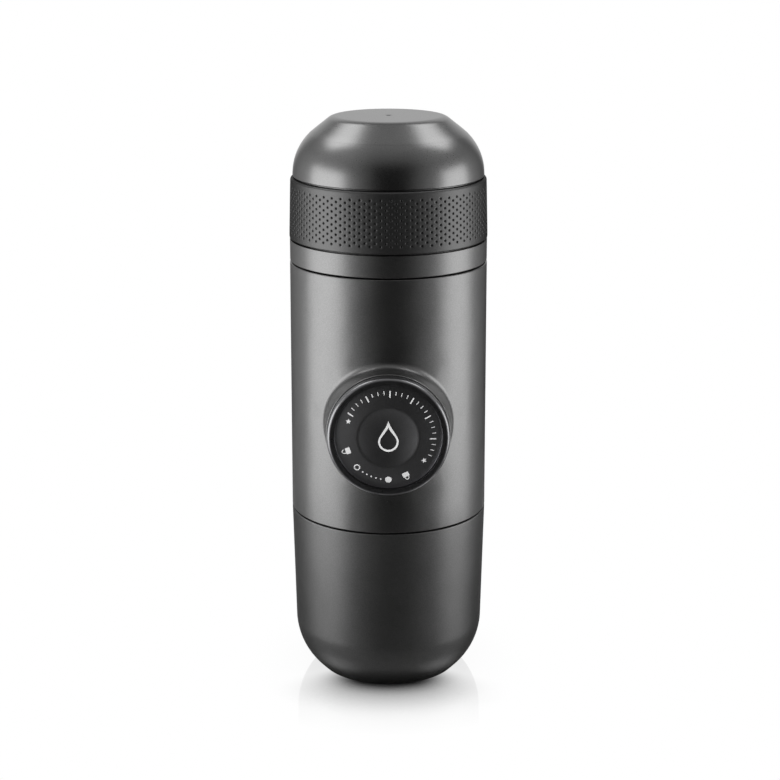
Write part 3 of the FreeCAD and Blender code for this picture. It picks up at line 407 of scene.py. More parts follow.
FINISHES = {
    "water_tank": (shaded_tank_lacquer, "gunmetal_paint"),
    "body_shell": (lacquer, "gunmetal_paint"),
    "outlet_head": (lacquer, "gunmetal_paint"),
    "piston_button": (black_chrome, "button_plastic"),
    "tank_neck": (frame_plastic, "frame_plastic"),
    "brew_neck": (frame_plastic, "frame_plastic"),
    "pump_block": (frame_plastic, "frame_plastic"),
    "piston_guide": (frame_plastic, "frame_plastic"),
    "outlet_nozzle": (frame_plastic, "frame_plastic"),
    "intake_pipe": (pump_plastic, "pump_plastic"),
    "delivery_pipe": (pump_plastic, "pump_plastic"),
    "plunger": (pump_plastic, "pump_plastic"),
    "inlet_valve": (silicone, "silicone"),
    "outlet_valve": (silicone, "silicone"),
    "vent_valve": (silicone, "silicone"),
    "tank_seal": (silicone, "silicone"),
    "chamber_seal": (silicone, "silicone"),
    "head_seal": (silicone, "silicone"),
    "plunger_seals": (silicone, "silicone"),
    "intake_strainer": (steel, "stainless_steel"),
    "shower_plate": (steel, "stainless_steel"),
    "shower_screw": (steel, "stainless_steel"),
    "outlet_screen": (steel, "stainless_steel"),
    "filter_basket": (steel, "stainless_steel"),
    "frame_screws": (steel, "stainless_steel"),
    "button_screw": (steel, "stainless_steel"),
    "return_spring": (steel, "stainless_steel"),
}
# turned round the height; the piston button is turned round its own axis, from front to back
TURNED = ("water_tank", "outlet_head", "tank_neck", "brew_neck", "filter_basket", "outlet_nozzle")


def finished_copy(node, finish):
    """A merged copy of a CAD node with smooth faces."""
    bm = bmesh.new()
    bm.from_mesh(frame["nodes"][node].data)
    bmesh.ops.scale(bm, verts=bm.verts, vec=(1 / MM, 1 / MM, 1 / MM))
    piece = piece_from(bm, node + "_finished", frame["nodes"][node]["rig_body"], finish)
    if node in TURNED:
        turned_normals(piece, Vector((0, 0, 1)), Vector())
    elif node == "piston_button":
        low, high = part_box(node)
        turned_normals(piece, Vector((0, 1, 0)), (low + high) / 2)
    else:
        keep_edges(piece)
    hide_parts(node)


for cad_node, (finish, slot) in FINISHES.items():
    finished_copy(cad_node, finish)


# ---------------------------------------------------------------------------------------------
# Cup, mouth down: turned with the softer edges and the slightly bulging slope that its thick
# coat gives it

BASE_RISE = 17.85  # base above the shoulder, which stands out over the skirt
BASE_INSET = 11.8  # edge of the base, in from the widest place
CORNER_INSET, CORNER_RISE = 0.5, 8.4  # where wall and slope would meet, measured from the shoulder
SLOPE_BULGE = 0.2  # how far the middle of the slope stands out
SKIRT_RADIUS, SKIRT_BORE = 28.1, 26.2  # the part that nests in the outlet head
INNER_CORNER = (26.05, 13.5)  # where bore and inner slope would meet: radius, depth under the base
WELL_RADIUS, BASE_WALL = 16.28, 2.4  # bottom of the well, and the wall between it and the base
BASE_ROUND, SLOPE_ROUND, CORNER_ROUND, SHOULDER_ROUND = 4.2, 50.0, 16.5, 0.35
MOUTH_ROUND, INNER_ROUND, WELL_ROUND = 0.3, 12.6, 1.0
GATE_RADIUS, GATE_SLOPE, GATE_DEPTH = 1.0, 0.35, 0.1  # dimple where the moulding gate was
STUB_RADIUS, STUB_HEIGHT, STUB_SUNK = 0.6, 0.2, 0.16  # the gate's cut end, in the dimple


def rounded(corners, step=4.0):
    """Points of a profile whose corners, each (radius, height, round), become arcs with a point
    every few degrees."""
    points = [Vector(corners[0][:2])]
    for before, (across, up, bend), after in zip(corners, corners[1:], corners[2:]):
        corner = Vector((across, up))
        if not bend:
            points.append(corner)
            continue
        back = (Vector(before[:2]) - corner).normalized()
        ahead = (Vector(after[:2]) - corner).normalized()
        half = back.angle(ahead) / 2
        centre = corner + (back + ahead).normalized() * bend / math.sin(half)
        start = corner + back * bend / math.tan(half) - centre
        end = corner + ahead * bend / math.tan(half) - centre
        turn = (math.pi - 2 * half) * math.copysign(1, start.cross(end))
        steps = max(2, round(abs(math.degrees(turn)) / step))
        points += [centre + Matrix.Rotation(turn * i / steps, 2) @ start for i in range(steps + 1)]
    return points + [Vector(corners[-1][:2])]


def cup():
    """Its profile runs from the middle of the base over slope, wall and skirt and back inside."""
    low, high = box_of("cup")
    widest, base = high.x, high.z
    shoulder = base - BASE_RISE
    corner = Vector((widest - CORNER_INSET, shoulder + CORNER_RISE))
    edge = Vector((widest - BASE_INSET, base))
    outwards = Vector((base - corner.y, corner.x - edge.x)).normalized()
    crest = (corner + edge) / 2 + outwards * SLOPE_BULGE
    inner_radius, inner_depth = INNER_CORNER
    corners = [
        (0, base - GATE_DEPTH, 0),
        (GATE_RADIUS, base - GATE_DEPTH, 0),
        (GATE_RADIUS + GATE_SLOPE, base, 0),
        (*edge, BASE_ROUND),
        (*crest, SLOPE_ROUND),
        (*corner, CORNER_ROUND),
        (widest, shoulder, SHOULDER_ROUND),
        (SKIRT_RADIUS, shoulder, 0),
        (SKIRT_RADIUS, low.z, MOUTH_ROUND),
        (SKIRT_BORE, low.z, MOUTH_ROUND),
        (inner_radius, base - inner_depth, INNER_ROUND),
        (WELL_RADIUS, base - BASE_WALL, WELL_ROUND),
        (0, base - BASE_WALL, 0),
    ]
    profile = [(radius, 0, height) for radius, height in rounded(corners)]
    bm = turned(profile, axis=(0, 0, 1), centre=(0, 0, 0), steps=192)
    piece = piece_from(bm, "coated_cup", "drinking_cup", cup_lacquer)
    keep_edges(piece, 40)
    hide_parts("cup")

    bm = bmesh.new()
    bmesh.ops.create_circle(bm, cap_ends=True, radius=STUB_RADIUS, segments=24)
    thicken(bm, STUB_HEIGHT)
    bmesh.ops.translate(bm, verts=bm.verts, vec=(0, 0, base - GATE_DEPTH - STUB_SUNK))
    keep_edges(piece_from(bm, "gate_mark", "drinking_cup", frame_plastic))


cup()


# ---------------------------------------------------------------------------------------------
# Grip band: columns of round dimples, every other column half a pitch lower

COLUMNS = 124
HALF_ROWS = 16  # the dimples of a column are two half rows apart
HALF_ROW = 0.9535
BAND_TAPER = 0.5  # how much the radius falls from foot to top
BAND_WALL = 1.7  # bore in from the radius at the foot
DIMPLE_RADIUS = 0.45
DIMPLE_DEPTH = 0.2
# radius and depth of the rings of a dimple, as shares of the two sizes above
DIMPLE_RINGS = ((1.12, 0.0), (0.92, 0.38), (0.42, 1.0))
CREASED = 0.9  # keeps a corner of the bore crisp where the others go round


def grip_band():
    low, high = box_of("grip_band")
    foot_radius = high.x
    top_radius = foot_radius - BAND_TAPER
    bore = foot_radius - BAND_WALL
    middle = (low.z + high.z) / 2

    bm = bmesh.new()
    bmesh.ops.create_grid(bm, x_segments=COLUMNS, y_segments=HALF_ROWS, size=1.0)
    pitch = 2 * math.pi * foot_radius / COLUMNS
    width, height = COLUMNS * pitch, HALF_ROWS * HALF_ROW
    bmesh.ops.scale(bm, verts=bm.verts, vec=(width / 2, height / 2, 1))

    # two half rows become one cell, in every other column half a cell lower
    spare = []
    for edge in bm.edges:
        centre = (edge.verts[0].co + edge.verts[1].co) / 2
        across = abs(edge.verts[0].co.y - edge.verts[1].co.y) < 1e-4
        row = round((centre.y + height / 2) / HALF_ROW)
        column = int((centre.x + width / 2) / pitch)
        if across and 0 < row < HALF_ROWS and (row + column) % 2:
            spare.append(edge)
    bmesh.ops.dissolve_edges(bm, edges=spare, use_verts=False)

    # rings of six points sink into each cell; the inset makes them and the loop places them
    half_cell = pitch * HALF_ROW
    cells = [face for face in bm.faces if face.calc_area() > 1.5 * half_cell]
    centres = {face: face.calc_center_bounds() for face in cells}
    sixth = math.pi / 3
    for radius, depth in DIMPLE_RINGS:
        bmesh.ops.inset_individual(bm, faces=cells, thickness=0.05, use_even_offset=True)
        for face in cells:
            for vert in face.verts:
                spoke = vert.co - centres[face]
                turn = round(math.atan2(spoke.y, spoke.x) / sixth) * sixth
                reach = radius * DIMPLE_RADIUS
                vert.co = centres[face] + Vector((reach * math.cos(turn), reach * math.sin(turn), 0))
                vert.co.z = -depth * DIMPLE_DEPTH

    # the flat sheet becomes the slightly tapered outer wall
    def wall_radius(z):
        return foot_radius + (top_radius - foot_radius) * (z - low.z) / (high.z - low.z)

    for vert in bm.verts:
        z = middle + vert.co.y
        radius = wall_radius(z) + vert.co.z
        angle = vert.co.x / width * 2 * math.pi
        vert.co = Vector((radius * math.sin(angle), -radius * math.cos(angle), z))
    bmesh.ops.remove_doubles(bm, verts=bm.verts, dist=0.01)

    # round rims, then the bore, close the band into a ring: radius, height and crease of each loop
    crease = bm.edges.layers.float.new("crease_edge")
    rims = {}
    for name, z in (("top", middle + height / 2), ("foot", middle - height / 2)):
        rims[name] = [e for e in bm.edges if e.is_boundary and abs(e.verts[0].co.z - z) < 0.01]
    stations = {
        "top": [
            (wall_radius(high.z - 0.9), high.z - 0.9, 0),
            (wall_radius(high.z - 0.5), high.z - 0.5, 0),
            (wall_radius(high.z) - 0.18, high.z - 0.14, 0),
            (wall_radius(high.z) - 0.6, high.z, 0),
            (bore + 0.2, high.z, 0),
            (bore, high.z, CREASED),
        ],
        "foot": [
            (wall_radius(low.z + 0.8), low.z + 0.8, 0),
            (wall_radius(low.z) - 0.02, low.z + 0.5, 0),
            (wall_radius(low.z) - 0.25, low.z + 0.22, 0),
            (bore, low.z + 0.15, CREASED),
        ],
    }
    for name, places in stations.items():
        for radius, z, sharp in places:
            grown = bmesh.ops.extrude_edge_only(bm, edges=rims[name])["geom"]
            for vert in (item for item in grown if isinstance(item, bmesh.types.BMVert)):
                spoke = Vector((vert.co.x, vert.co.y, 0)).normalized() * radius
                vert.co = Vector((spoke.x, spoke.y, z))
            rims[name] = [e for e in grown if isinstance(e, bmesh.types.BMEdge) and e.is_boundary]
            for edge in rims[name]:
                edge[crease] = sharp
    bmesh.ops.bridge_loops(bm, edges=rims["top"] + rims["foot"])

    # paints shade into the colour at the bottoms of the dimples
    paint_pit_shade(grip_rubber, foot_radius, top_radius, low.z, high.z, DIMPLE_DEPTH, height)
    piece = piece_from(bm, "dimpled_grip_band", "head", grip_rubber)
    subdivision = piece.modifiers.new("round_dimples", "SUBSURF")
    subdivision.levels = subdivision.render_levels = 1
    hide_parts("grip_band")


grip_band()


# ---------------------------------------------------------------------------------------------
# Screw threads: rounded ridges that start and end flush with the wall

PITCH = 2.6
CREST = 0.3  # height of a ridge; the two of a pair share the thread's room of 0.7
HALF_CREST, HALF_FOOT, HALF_ROOT = 0.22, 0.55, 0.62  # half its width at crest, wall and root
ROOT = 0.08  # how far it is sunk into the wall
STEPS_PER_TURN = 96
FADE = 12  # the ends fade into the wall over this part of a turn
LEAST = 0.03  # the share of its height that a ridge keeps at its ends
TANK_NECK, TANK_BORE = 26.9, 27.6
BREW_NECK, HEAD_BORE = 26.3, 27.0


def thread(name, body, finish, wall, out, foot, turns):
    """A ridge round a neck, where out is 1, or in a mouth, where it is -1."""
    crest, root = wall + out * CREST, wall - out * ROOT
    start = foot + HALF_ROOT
    half_profile = [(root, HALF_ROOT), (wall, HALF_FOOT), (crest, HALF_CREST)]
    profile = [(radius, -half) for radius, half in half_profile] + half_profile[::-1]
    bm = bmesh.new()
    section = bm.faces.new([bm.verts.new((radius, 0, start + z)) for radius, z in profile])
    steps = int(STEPS_PER_TURN * turns)
    bmesh.ops.spin(
        bm,
        geom=[section, *section.edges, *section.verts],
        axis=(0, 0, 1),
        cent=(0, 0, 0),
        dvec=(0, 0, turns * PITCH / steps),
        angle=2 * math.pi * turns,
        steps=steps,
        use_merge=False,
        use_duplicate=False,
    )
    for vert in bm.verts:
        radius = math.hypot(vert.co.x, vert.co.y)
        height = (radius - wall) * out
        if height <= 0.01:
            continue
        along = min(max((vert.co.z - start) / PITCH, 0), turns)
        fade = max(LEAST, min(1.0, along * FADE, (turns - along) * FADE))
        scale = (wall + (radius - wall) * fade) / radius
        vert.co.x *= scale
        vert.co.y *= scale
    keep_edges(piece_from(bm, name, body, finish), 40)


neck_foot = box_of("tank_neck")[0].z
brew_top = box_of("brew_neck")[1].z
head_foot = box_of("outlet_head")[0].z
# body it rides on, finish, slot, radius of the wall, side of the ridge, foot, turns
for name, body, finish, slot, wall, out, foot, turns in (
    ("tank_neck_thread", "main_body", frame_plastic, "frame_plastic", TANK_NECK, 1, neck_foot + 0.6, 1.5),
    ("tank_mouth_thread", "tank", shaded_tank_lacquer, "gunmetal_paint", TANK_BORE, -1, neck_foot + 1.9, 1.5),
    ("brew_neck_thread", "main_body", frame_plastic, "frame_plastic", BREW_NECK, 1, brew_top - 8.0, 1.75),
    ("head_thread", "head", lacquer, "gunmetal_paint", HEAD_BORE, -1, head_foot + 3.4, 1.75),
):
    thread(name, body, finish, wall, out, foot, turns)


# ---------------------------------------------------------------------------------------------
# Dial: a plate with a slightly arched ring round a thumb dish

dial_low, dial_high = box_of("dial_plate")
dial_middle = (dial_low.z + dial_high.z) / 2
dial_face = dial_low.y
DISH_RADIUS = 9.0
DISH_DEPTH = 1.2
DISH_CURVE = (DISH_RADIUS**2 + DISH_DEPTH**2) / (2 * DISH_DEPTH)
RING_CURVE = 70.0
LIP_WIDTH, LIP_DEPTH = 0.06, 0.08  # broken edge of the plate
PROFILE_STEPS = 40


def dial_depth(radius):
    """How far the plate's front lies behind its crest, at a distance from the middle."""
    if radius >= DISH_RADIUS:
        return (radius**2 - DISH_RADIUS**2) / (2 * RING_CURVE)
    return DISH_DEPTH - (DISH_CURVE - math.sqrt(DISH_CURVE**2 - radius**2))


def dial_plate():
    edge = (dial_high.z - dial_low.z) / 2
    back = dial_high.y - dial_face
    stations = [edge * step / PROFILE_STEPS for step in range(PROFILE_STEPS)]
    front = [(radius, dial_depth(radius)) for radius in stations]
    lip = [(edge - LIP_WIDTH, dial_depth(edge)), (edge, dial_depth(edge) + LIP_DEPTH)]
    outline = front + lip + [(edge, back), (0, back)]
    profile = [(radius, dial_face + depth, dial_middle) for radius, depth in outline]
    bm = turned(profile, axis=(0, 1, 0), centre=(0, 0, dial_middle), steps=160)
    piece = piece_from(bm, "arched_dial_plate", "button", dial_metal)
    keep_edges(piece, 40)
    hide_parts("dial_plate")


dial_plate()


# ---------------------------------------------------------------------------------------------
# Lock pointer: a small raised triangle on the body, under the button

POINTER_WIDTH, POINTER_HEIGHT, POINTER_RISE = 1.5, 1.1, 0.18
POINTER_FOOT = 62.9  # above the ground
POINTER_SUNK = 0.03
TRIANGLE_WIDTH, TRIANGLE_HEIGHT = 0.866, 0.75  # of a triangle in a circle of radius 0.5


def pointer():
    """The lock's marks turn past it."""
    radius = box_of("body_shell")[1].x
    wall = radius * math.cos(math.asin(POINTER_WIDTH / 2 / radius))
    bm = bmesh.new()
    bmesh.ops.create_circle(bm, cap_ends=True, radius=0.5, segments=3)
    thicken(bm, POINTER_RISE)
    low = min(vert.co.y for vert in bm.verts)
    for vert in bm.verts:
        across, up, lift = vert.co
        vert.co.x = across * POINTER_WIDTH / TRIANGLE_WIDTH
        vert.co.y = -wall - lift + POINTER_SUNK
        vert.co.z = POINTER_FOOT + (up - low) * POINTER_HEIGHT / TRIANGLE_HEIGHT
    keep_edges(piece_from(bm, "lock_pointer", "main_body", lacquer))


pointer()


# ---------------------------------------------------------------------------------------------
# Dial print: flat shapes, drawn in XY with Y up, then laid on the plate as a film of ink

INK = 0.05
INK_SUNK = 0.01  # how far its back lies in the plate
PRINT_CIRCLE = 13.0  # radius of the ring of marks
LOCKED, FREE = 270, 225  # where the lock's two marks stand, in degrees from the right
MARK_RADIUS, MARK_LINE = 0.95, 0.32  # the marks: a dot, and a ring with this line
TURN_STEP = 7.5  # degrees between two ticks
POINTS, POINT_RADIUS = 5, 0.24  # row of points between the marks
POINTS_START, POINT_STEP = 10, 0.85 * TURN_STEP  # degrees, the first from the dot
STAR_RADIUS, STAR_WAIST, STAR_CIRCLE = 0.85, 0.45, 12.6
STARS = (157.5, 326)  # degrees
TICKS, LONG_EVERY, FIRST_TICK = 24, 4, 148  # the first at this angle, the rest clockwise
LONG_TICK, SHORT_TICK = (1.9, 0.34), (1.1, 0.2)  # length and width
PADLOCKS = ((LOCKED + 24, False), (FREE - 26, True))  # angle, and whether it is open
PADLOCK_INSET = 0.5  # in from the ring of marks
PADLOCK_SCALE = 0.85


def printed(shapes, name):
    """Lays the shapes on the dial and gives the ink its thickness."""
    ink = bmesh.new()
    for shape in shapes:
        mesh = bpy.data.meshes.new("shape")
        shape.to_mesh(mesh)
        shape.free()
        ink.from_mesh(mesh)
        bpy.data.meshes.remove(mesh)
    thicken(ink, INK)
    for vert in ink.verts:
        across, up, lift = vert.co
        depth = dial_depth(math.hypot(across, up))
        vert.co = Vector((across, dial_face + depth - lift + INK_SUNK, dial_middle + up))
    keep_edges(piece_from(ink, name, "button", white_ink, merge=0.0001))


def at(shape, angle, radius=PRINT_CIRCLE):
    """Moves a shape out to a place on the dial; angle is in degrees from the right, the shape's
    own up points outwards."""
    turn = Matrix.Rotation(math.radians(angle) - math.pi / 2, 3, "Z")
    bmesh.ops.translate(shape, verts=shape.verts, vec=(0, radius, 0))
    bmesh.ops.rotate(shape, verts=shape.verts, cent=(0, 0, 0), matrix=turn)
    return shape


def dot(radius, segments=32):
    shape = bmesh.new()
    bmesh.ops.create_circle(shape, cap_ends=True, radius=radius, segments=segments)
    return shape


def ring(radius, line, segments=48):
    """A circle drawn with a line of the given width."""
    shape = dot(radius, segments)
    bmesh.ops.inset_individual(shape, faces=shape.faces[:], thickness=line, use_even_offset=True)
    inner = [face for face in shape.faces if len(face.verts) == segments]
    bmesh.ops.delete(shape, geom=inner, context="FACES_ONLY")
    return shape


def bar(width, height):
    shape = bmesh.new()
    bmesh.ops.create_grid(shape, x_segments=1, y_segments=1, size=0.5)
    bmesh.ops.scale(shape, verts=shape.verts, vec=(width, height, 1))
    return shape


def star(radius):
    """Five points, every second vertex pulled in."""
    shape = dot(radius, 10)
    for vert in shape.verts:
        turn = math.atan2(vert.co.y, vert.co.x) - math.pi / 2
        if round(turn / (math.pi / 5)) % 2:
            vert.co *= STAR_WAIST
    return shape


def ticks():
    """A plain scale over the top of the dial, with a longer mark every fourth step."""
    shapes = []
    for index in range(TICKS):
        length, width = SHORT_TICK if index % LONG_EVERY else LONG_TICK
        radius = PRINT_CIRCLE + (LONG_TICK[0] - length) / 2
        shapes.append(at(bar(width, length), FIRST_TICK - index * TURN_STEP, radius))
    return shapes


def padlock(open_shackle):
    """A body with a round shackle, which stands open when the button is free."""
    body_width, body_height, body_round = 2.3, 1.7, 0.3
    shackle_radius, line = 0.8, 0.3
    short_leg, long_leg = 0.25, 0.7
    lift = 1.45 if open_shackle else 1.2  # middle of the shackle's bow above that of the body

    body = bar(body_width, body_height)
    bmesh.ops.bevel(
        body,
        geom=body.verts[:],
        offset=body_round,
        segments=3,
        profile=0.5,
        affect="VERTICES",
        material=-1,
    )
    bow = ring(shackle_radius, line)
    below = [vert for vert in bow.verts if vert.co.y < -0.02]
    bmesh.ops.delete(bow, geom=below, context="VERTS")
    shackle = [bow]
    for side in (-1, 1):
        length = short_leg if open_shackle and side > 0 else long_leg
        leg = bar(line, length)
        place = (side * (shackle_radius - line / 2), -length / 2, 0)
        bmesh.ops.translate(leg, verts=leg.verts, vec=place)
        shackle.append(leg)
    for part in shackle:
        bmesh.ops.translate(part, verts=part.verts, vec=(0, lift, 0))
    for part in [body, *shackle]:
        bmesh.ops.scale(part, verts=part.verts, vec=(PADLOCK_SCALE, PADLOCK_SCALE, 1))
    return [body, *shackle]


def droplet():
    """Outline of a drop in the middle of the dish: a ring whose top is drawn up to a tip."""
    round_radius, tip, line, middle = 3.0, 6.4, 0.55, -1.5
    pinch = 0.94  # how far the sides close in at the tip
    tip_line = 1.4  # how much taller the line is at the tip
    shape = ring(round_radius, line, 64)
    for vert in shape.verts:
        inner = (round_radius - vert.co.length) / line
        rise = max(0.0, math.sin(math.atan2(vert.co.y, vert.co.x))) ** 3
        vert.co.x *= 1 - pinch * rise
        vert.co.y += rise * (tip - round_radius - tip_line * inner)
        vert.co.y += middle
    return shape


marks = [at(dot(MARK_RADIUS), LOCKED), at(ring(MARK_RADIUS, MARK_LINE), FREE)]
marks += [at(dot(POINT_RADIUS, 16), LOCKED - POINTS_START - POINT_STEP * n) for n in range(POINTS)]
marks += [at(star(STAR_RADIUS), angle, STAR_CIRCLE) for angle in STARS]
marks += ticks()
for angle, open_shackle in PADLOCKS:
    marks += [at(part, angle, PRINT_CIRCLE - PADLOCK_INSET) for part in padlock(open_shackle)]
marks.append(droplet())
printed(marks, "dial_print")


# ---------------------------------------------------------------------------------------------
# Stage, light and camera, in metres

FLOOR_SIZE = 6.0
FLOOR_DROP = 0.00005  # below the object's foot
SHADOW_REACH = 0.033  # how far from the object the floor still darkens
CLOSED_SKY, OPEN_SKY = 0.24, 0.83  # free sky over the floor where it is darkest and where it is white
DARKEST = 0.97  # the light that the deepest shadow takes, before its gain
FRONT_FROM, FRONT_FULL = -0.45, -0.95  # ways from the foot, as the Y of a unit vector
SHADOW_ELSEWHERE = 0.04  # the shadow's share towards the sides and the back
SHADOW_GAIN = 1.35  # above 1, the shadow deepens faster close to the foot
MIRROR_NEAR, MIRROR_FAR = 0.026, 0.057  # distances over which the mirror image fades
MIRROR_GAIN = 1.3  # next to the foot, times the sheet's own gloss
MIRROR_ROUGHNESS = 0.05
SHEET_NEAR, SHEET_FAR = 0.12, 0.26  # the same for the gloss that the object's finish reflects
SHEET_TONE = 0.52
SHEET_ROUGHNESS = 0.2
ACRYLIC_IOR = 1.49
WHITE = (1, 1, 1, 1)

# Room and backdrop; the places are parts of a unit vector from the object
ROOM_SHIFT = 0.07  # the room is a little lighter on the left
SIDE_FROM, SIDE_FULL = 0.3, 0.95
ROOM_LIGHT, SIDE_LIGHT = 0.01, 0.45
OVERHEAD_FROM, OVERHEAD_LIGHT = 0.5, 0.34
BACKDROP_EDGE, BACKDROP_FULL = 0.86, 0.98
BACKDROP_TALLER = 0.3  # how much further it goes up than sideways
UPPER_FULL, UPPER_BACKDROP = 0.2, 0.7  # up to this height its light falls to this share


def floor():
    """White acrylic sheet: white to the camera, darker under the object, with a faint mirror."""
    bm = bmesh.new()
    bmesh.ops.create_circle(bm, cap_ends=True, radius=FLOOR_SIZE, segments=96)
    mesh = bpy.data.meshes.new("floor")
    bm.to_mesh(mesh)
    bm.free()
    sheet = bpy.data.objects.new("floor", mesh)
    bpy.context.scene.collection.objects.link(sheet)
    sheet.location.z = cad_low.z - FLOOR_DROP

    made = bpy.data.materials.new("white_acrylic")
    tree = empty_tree(made)
    rays = add(tree, "LightPath").outputs
    place = add(tree, "TexCoord").outputs["Object"]
    distance = add(tree, "VectorMath", {0: place}, operation="LENGTH").outputs["Value"]

    # the camera sees white with a short shadow towards the front, and a mirror image that fades
    sky = add(tree, "AmbientOcclusion", {"Distance": SHADOW_REACH}, samples=16).outputs["AO"]
    covered = add(
        tree,
        "MapRange",
        {"Value": sky, 1: CLOSED_SKY, 2: OPEN_SKY, 3: DARKEST, 4: 0.0},
    ).outputs["Result"]
    heading = add(tree, "VectorMath", {0: place}, operation="NORMALIZE").outputs["Vector"]
    forward = add(tree, "SeparateXYZ", {0: heading}).outputs["Y"]
    front = add(
        tree,
        "MapRange",
        {"Value": forward, 1: FRONT_FROM, 2: FRONT_FULL, 3: SHADOW_ELSEWHERE, 4: 1.0},
        interpolation_type="SMOOTHSTEP",
    ).outputs["Result"]
    shadow = add(tree, "Math", {0: covered, 1: front}, operation="MULTIPLY").outputs[0]
    unshaded = add(tree, "Math", {0: 1.0, 1: shadow}, operation="SUBTRACT").outputs[0]
    strength = add(tree, "Math", {0: unshaded, 1: SHADOW_GAIN}, operation="POWER").outputs[0]
    white = add(tree, "Emission", {"Color": WHITE, "Strength": strength}).outputs[0]
    even = 1 / UPPER_BACKDROP  # so that the mirrored backdrop is as white as the sheet
    mirror = add(
        tree,
        "BsdfGlossy",
        {"Color": (even, even, even, 1), "Roughness": MIRROR_ROUGHNESS},
    ).outputs[0]
    fade = add(
        tree,
        "MapRange",
        {"Value": distance, 1: MIRROR_NEAR, 2: MIRROR_FAR, 3: MIRROR_GAIN, 4: 0.0},
    ).outputs["Result"]
    angle = add(tree, "Fresnel", {"IOR": ACRYLIC_IOR}).outputs[0]
    share = add(tree, "Math", {0: angle, 1: fade}, operation="MULTIPLY").outputs[0]
    seen = add(tree, "MixShader", {0: share, 1: white, 2: mirror}).outputs[0]

    # the object sees the gloss of a sheet that ends a little way out
    near = add(
        tree,
        "MapRange",
        {"Value": distance, 1: SHEET_NEAR, 2: SHEET_FAR, 3: 1.0, 4: 0.0},
    ).outputs["Result"]
    tone = (SHEET_TONE, SHEET_TONE, SHEET_TONE, 1)
    gloss = add(tree, "BsdfGlossy", {"Color": tone, "Roughness": SHEET_ROUGHNESS}).outputs[0]
    through = add(tree, "BsdfTransparent").outputs[0]
    unseen = add(tree, "MixShader", {0: near, 1: through, 2: gloss}).outputs[0]
    both = add(tree, "MixShader", {0: rays["Is Camera Ray"], 1: unseen, 2: seen}).outputs[0]

    # from below the sheet is clear, so that the object's foot can be looked at
    below = add(tree, "NewGeometry").outputs["Backfacing"]
    sheet_face = add(tree, "MixShader", {0: below, 1: both, 2: through}).outputs[0]
    add(tree, "OutputMaterial", {"Surface": sheet_face})
    mesh.materials.append(made)


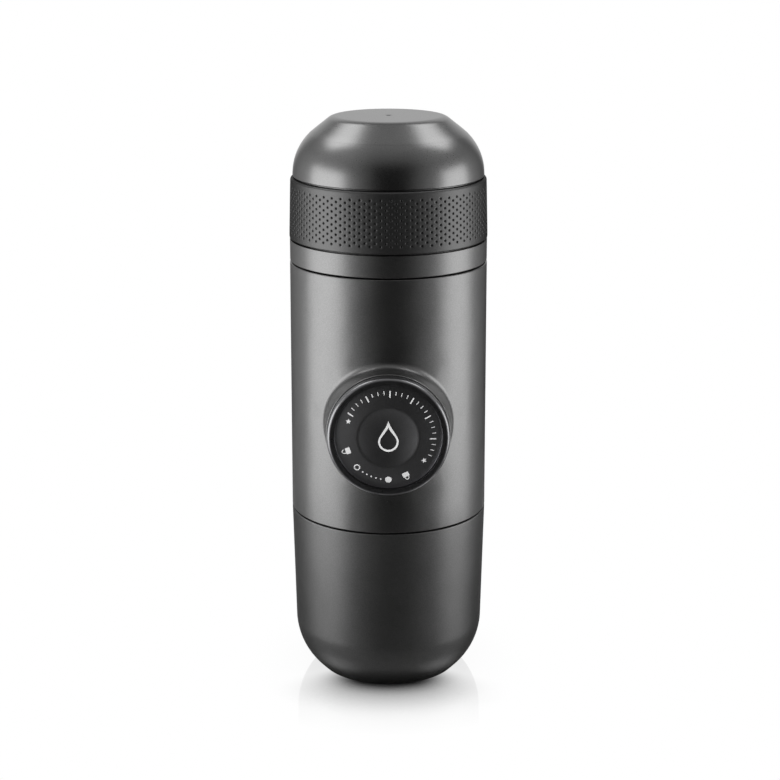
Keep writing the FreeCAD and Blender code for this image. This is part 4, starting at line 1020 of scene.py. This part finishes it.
def world():
    """White backdrop behind the object and to the camera; a dim room elsewhere, lighter to the
    sides and overhead."""
    made = bpy.data.worlds.new("studio")
    bpy.context.scene.world = made
    tree = empty_tree(made)
    way = add(tree, "TexCoord").outputs["Generated"]
    parts = add(tree, "SeparateXYZ", {0: way}).outputs
    across = add(tree, "Math", {0: parts["X"], 1: ROOM_SHIFT}, operation="SUBTRACT").outputs[0]
    sideways = add(tree, "Math", {0: across}, operation="ABSOLUTE").outputs[0]
    side = add(
        tree,
        "MapRange",
        {"Value": sideways, 1: SIDE_FROM, 2: SIDE_FULL, 3: ROOM_LIGHT, 4: SIDE_LIGHT},
    ).outputs["Result"]
    above = add(
        tree,
        "MapRange",
        {"Value": parts["Z"], 1: OVERHEAD_FROM, 2: 1.0, 3: 0.0, 4: OVERHEAD_LIGHT},
    ).outputs["Result"]
    light = add(tree, "Math", {0: above, 1: side}, operation="ADD").outputs[0]
    room = add(tree, "Background", {"Color": WHITE, "Strength": light}).outputs[0]

    # the backdrop stands behind the object and is a little taller than wide
    toward = add(
        tree,
        "Math",
        {0: parts["Z"], 1: BACKDROP_TALLER, 2: parts["Y"]},
        operation="MULTIPLY_ADD",
    ).outputs[0]
    back = add(
        tree,
        "MapRange",
        {"Value": toward, 1: BACKDROP_EDGE, 2: BACKDROP_FULL, 3: 0.0, 4: 1.0},
        interpolation_type="SMOOTHSTEP",
    ).outputs["Result"]
    # upward-facing surfaces reflect its upper part, which gets less light
    lit = add(
        tree,
        "MapRange",
        {"Value": parts["Z"], 1: 0.0, 2: UPPER_FULL, 3: 1.0, 4: UPPER_BACKDROP},
    ).outputs["Result"]
    backdrop = add(tree, "Math", {0: back, 1: lit}, operation="MULTIPLY").outputs[0]
    rays = add(tree, "LightPath").outputs
    sharp = add(
        tree,
        "Math",
        {0: rays["Is Glossy Ray"], 1: rays["Is Transmission Ray"]},
        operation="ADD",
    ).outputs[0]
    in_finish = add(tree, "Math", {0: sharp, 1: backdrop}, operation="MULTIPLY").outputs[0]
    seen = add(tree, "Math", {0: rays["Is Camera Ray"], 1: in_finish}, operation="MAXIMUM").outputs[0]
    white = add(tree, "Background", {"Color": WHITE, "Strength": 1.0}).outputs[0]
    both = add(tree, "MixShader", {0: seen, 1: room, 2: white}).outputs[0]
    add(tree, "OutputWorld", {"Surface": both})


LAMP_DISTANCE = 0.9


def softbox(name, azimuth, elevation, width, height, brightness, glossy=True):
    """A lamp that faces the middle of the object; azimuth is from the camera's side, in degrees."""
    data = bpy.data.lights.new(name, "AREA")
    data.shape = "RECTANGLE"
    data.size, data.size_y = width, height
    data.energy = brightness * math.pi * width * height
    lamp = bpy.data.objects.new(name, data)
    bpy.context.scene.collection.objects.link(lamp)
    turn, tilt = math.radians(azimuth), math.radians(elevation)
    across, up = LAMP_DISTANCE * math.cos(tilt), LAMP_DISTANCE * math.sin(tilt)
    middle = (cad_low.z + cad_high.z) / 2
    lamp.location = (across * math.sin(turn), -across * math.cos(turn), middle + up)
    lamp.rotation_euler = (math.radians(90) - tilt, 0, turn)
    lamp.visible_camera = False
    lamp.visible_glossy = glossy


CAMERA_PLACE = (0.00047, -0.547, 0.2445)
CAMERA_TILT = 15.8  # degrees below level
FOCAL_LENGTH, SENSOR_WIDTH = 84.28, 36  # millimetres


def camera():
    data = bpy.data.cameras.new("camera")
    data.lens = FOCAL_LENGTH
    data.sensor_width = SENSOR_WIDTH
    seat = bpy.data.objects.new("camera", data)
    bpy.context.scene.collection.objects.link(seat)
    seat.location = CAMERA_PLACE
    seat.rotation_euler = (math.radians(90 - CAMERA_TILT), 0, 0)
    bpy.context.scene.camera = seat


floor()
world()
# azimuth and elevation in degrees, width and height in metres, and brightness
softbox("softbox_left", -78, -10, 0.86, 1.0, 1.65)
softbox("softbox_right", 86, -10, 0.66, 1.0, 1.55)
softbox("upper_softbox_left", -117, 56, 0.42, 0.38, 2.1)
softbox("upper_softbox_right", 117, 56, 0.42, 0.38, 2.1)
softbox("front_fill", -15, 30, 0.8, 0.5, 4.8, glossy=False)
camera()
bpy.context.scene.view_settings.view_transform = "Standard"
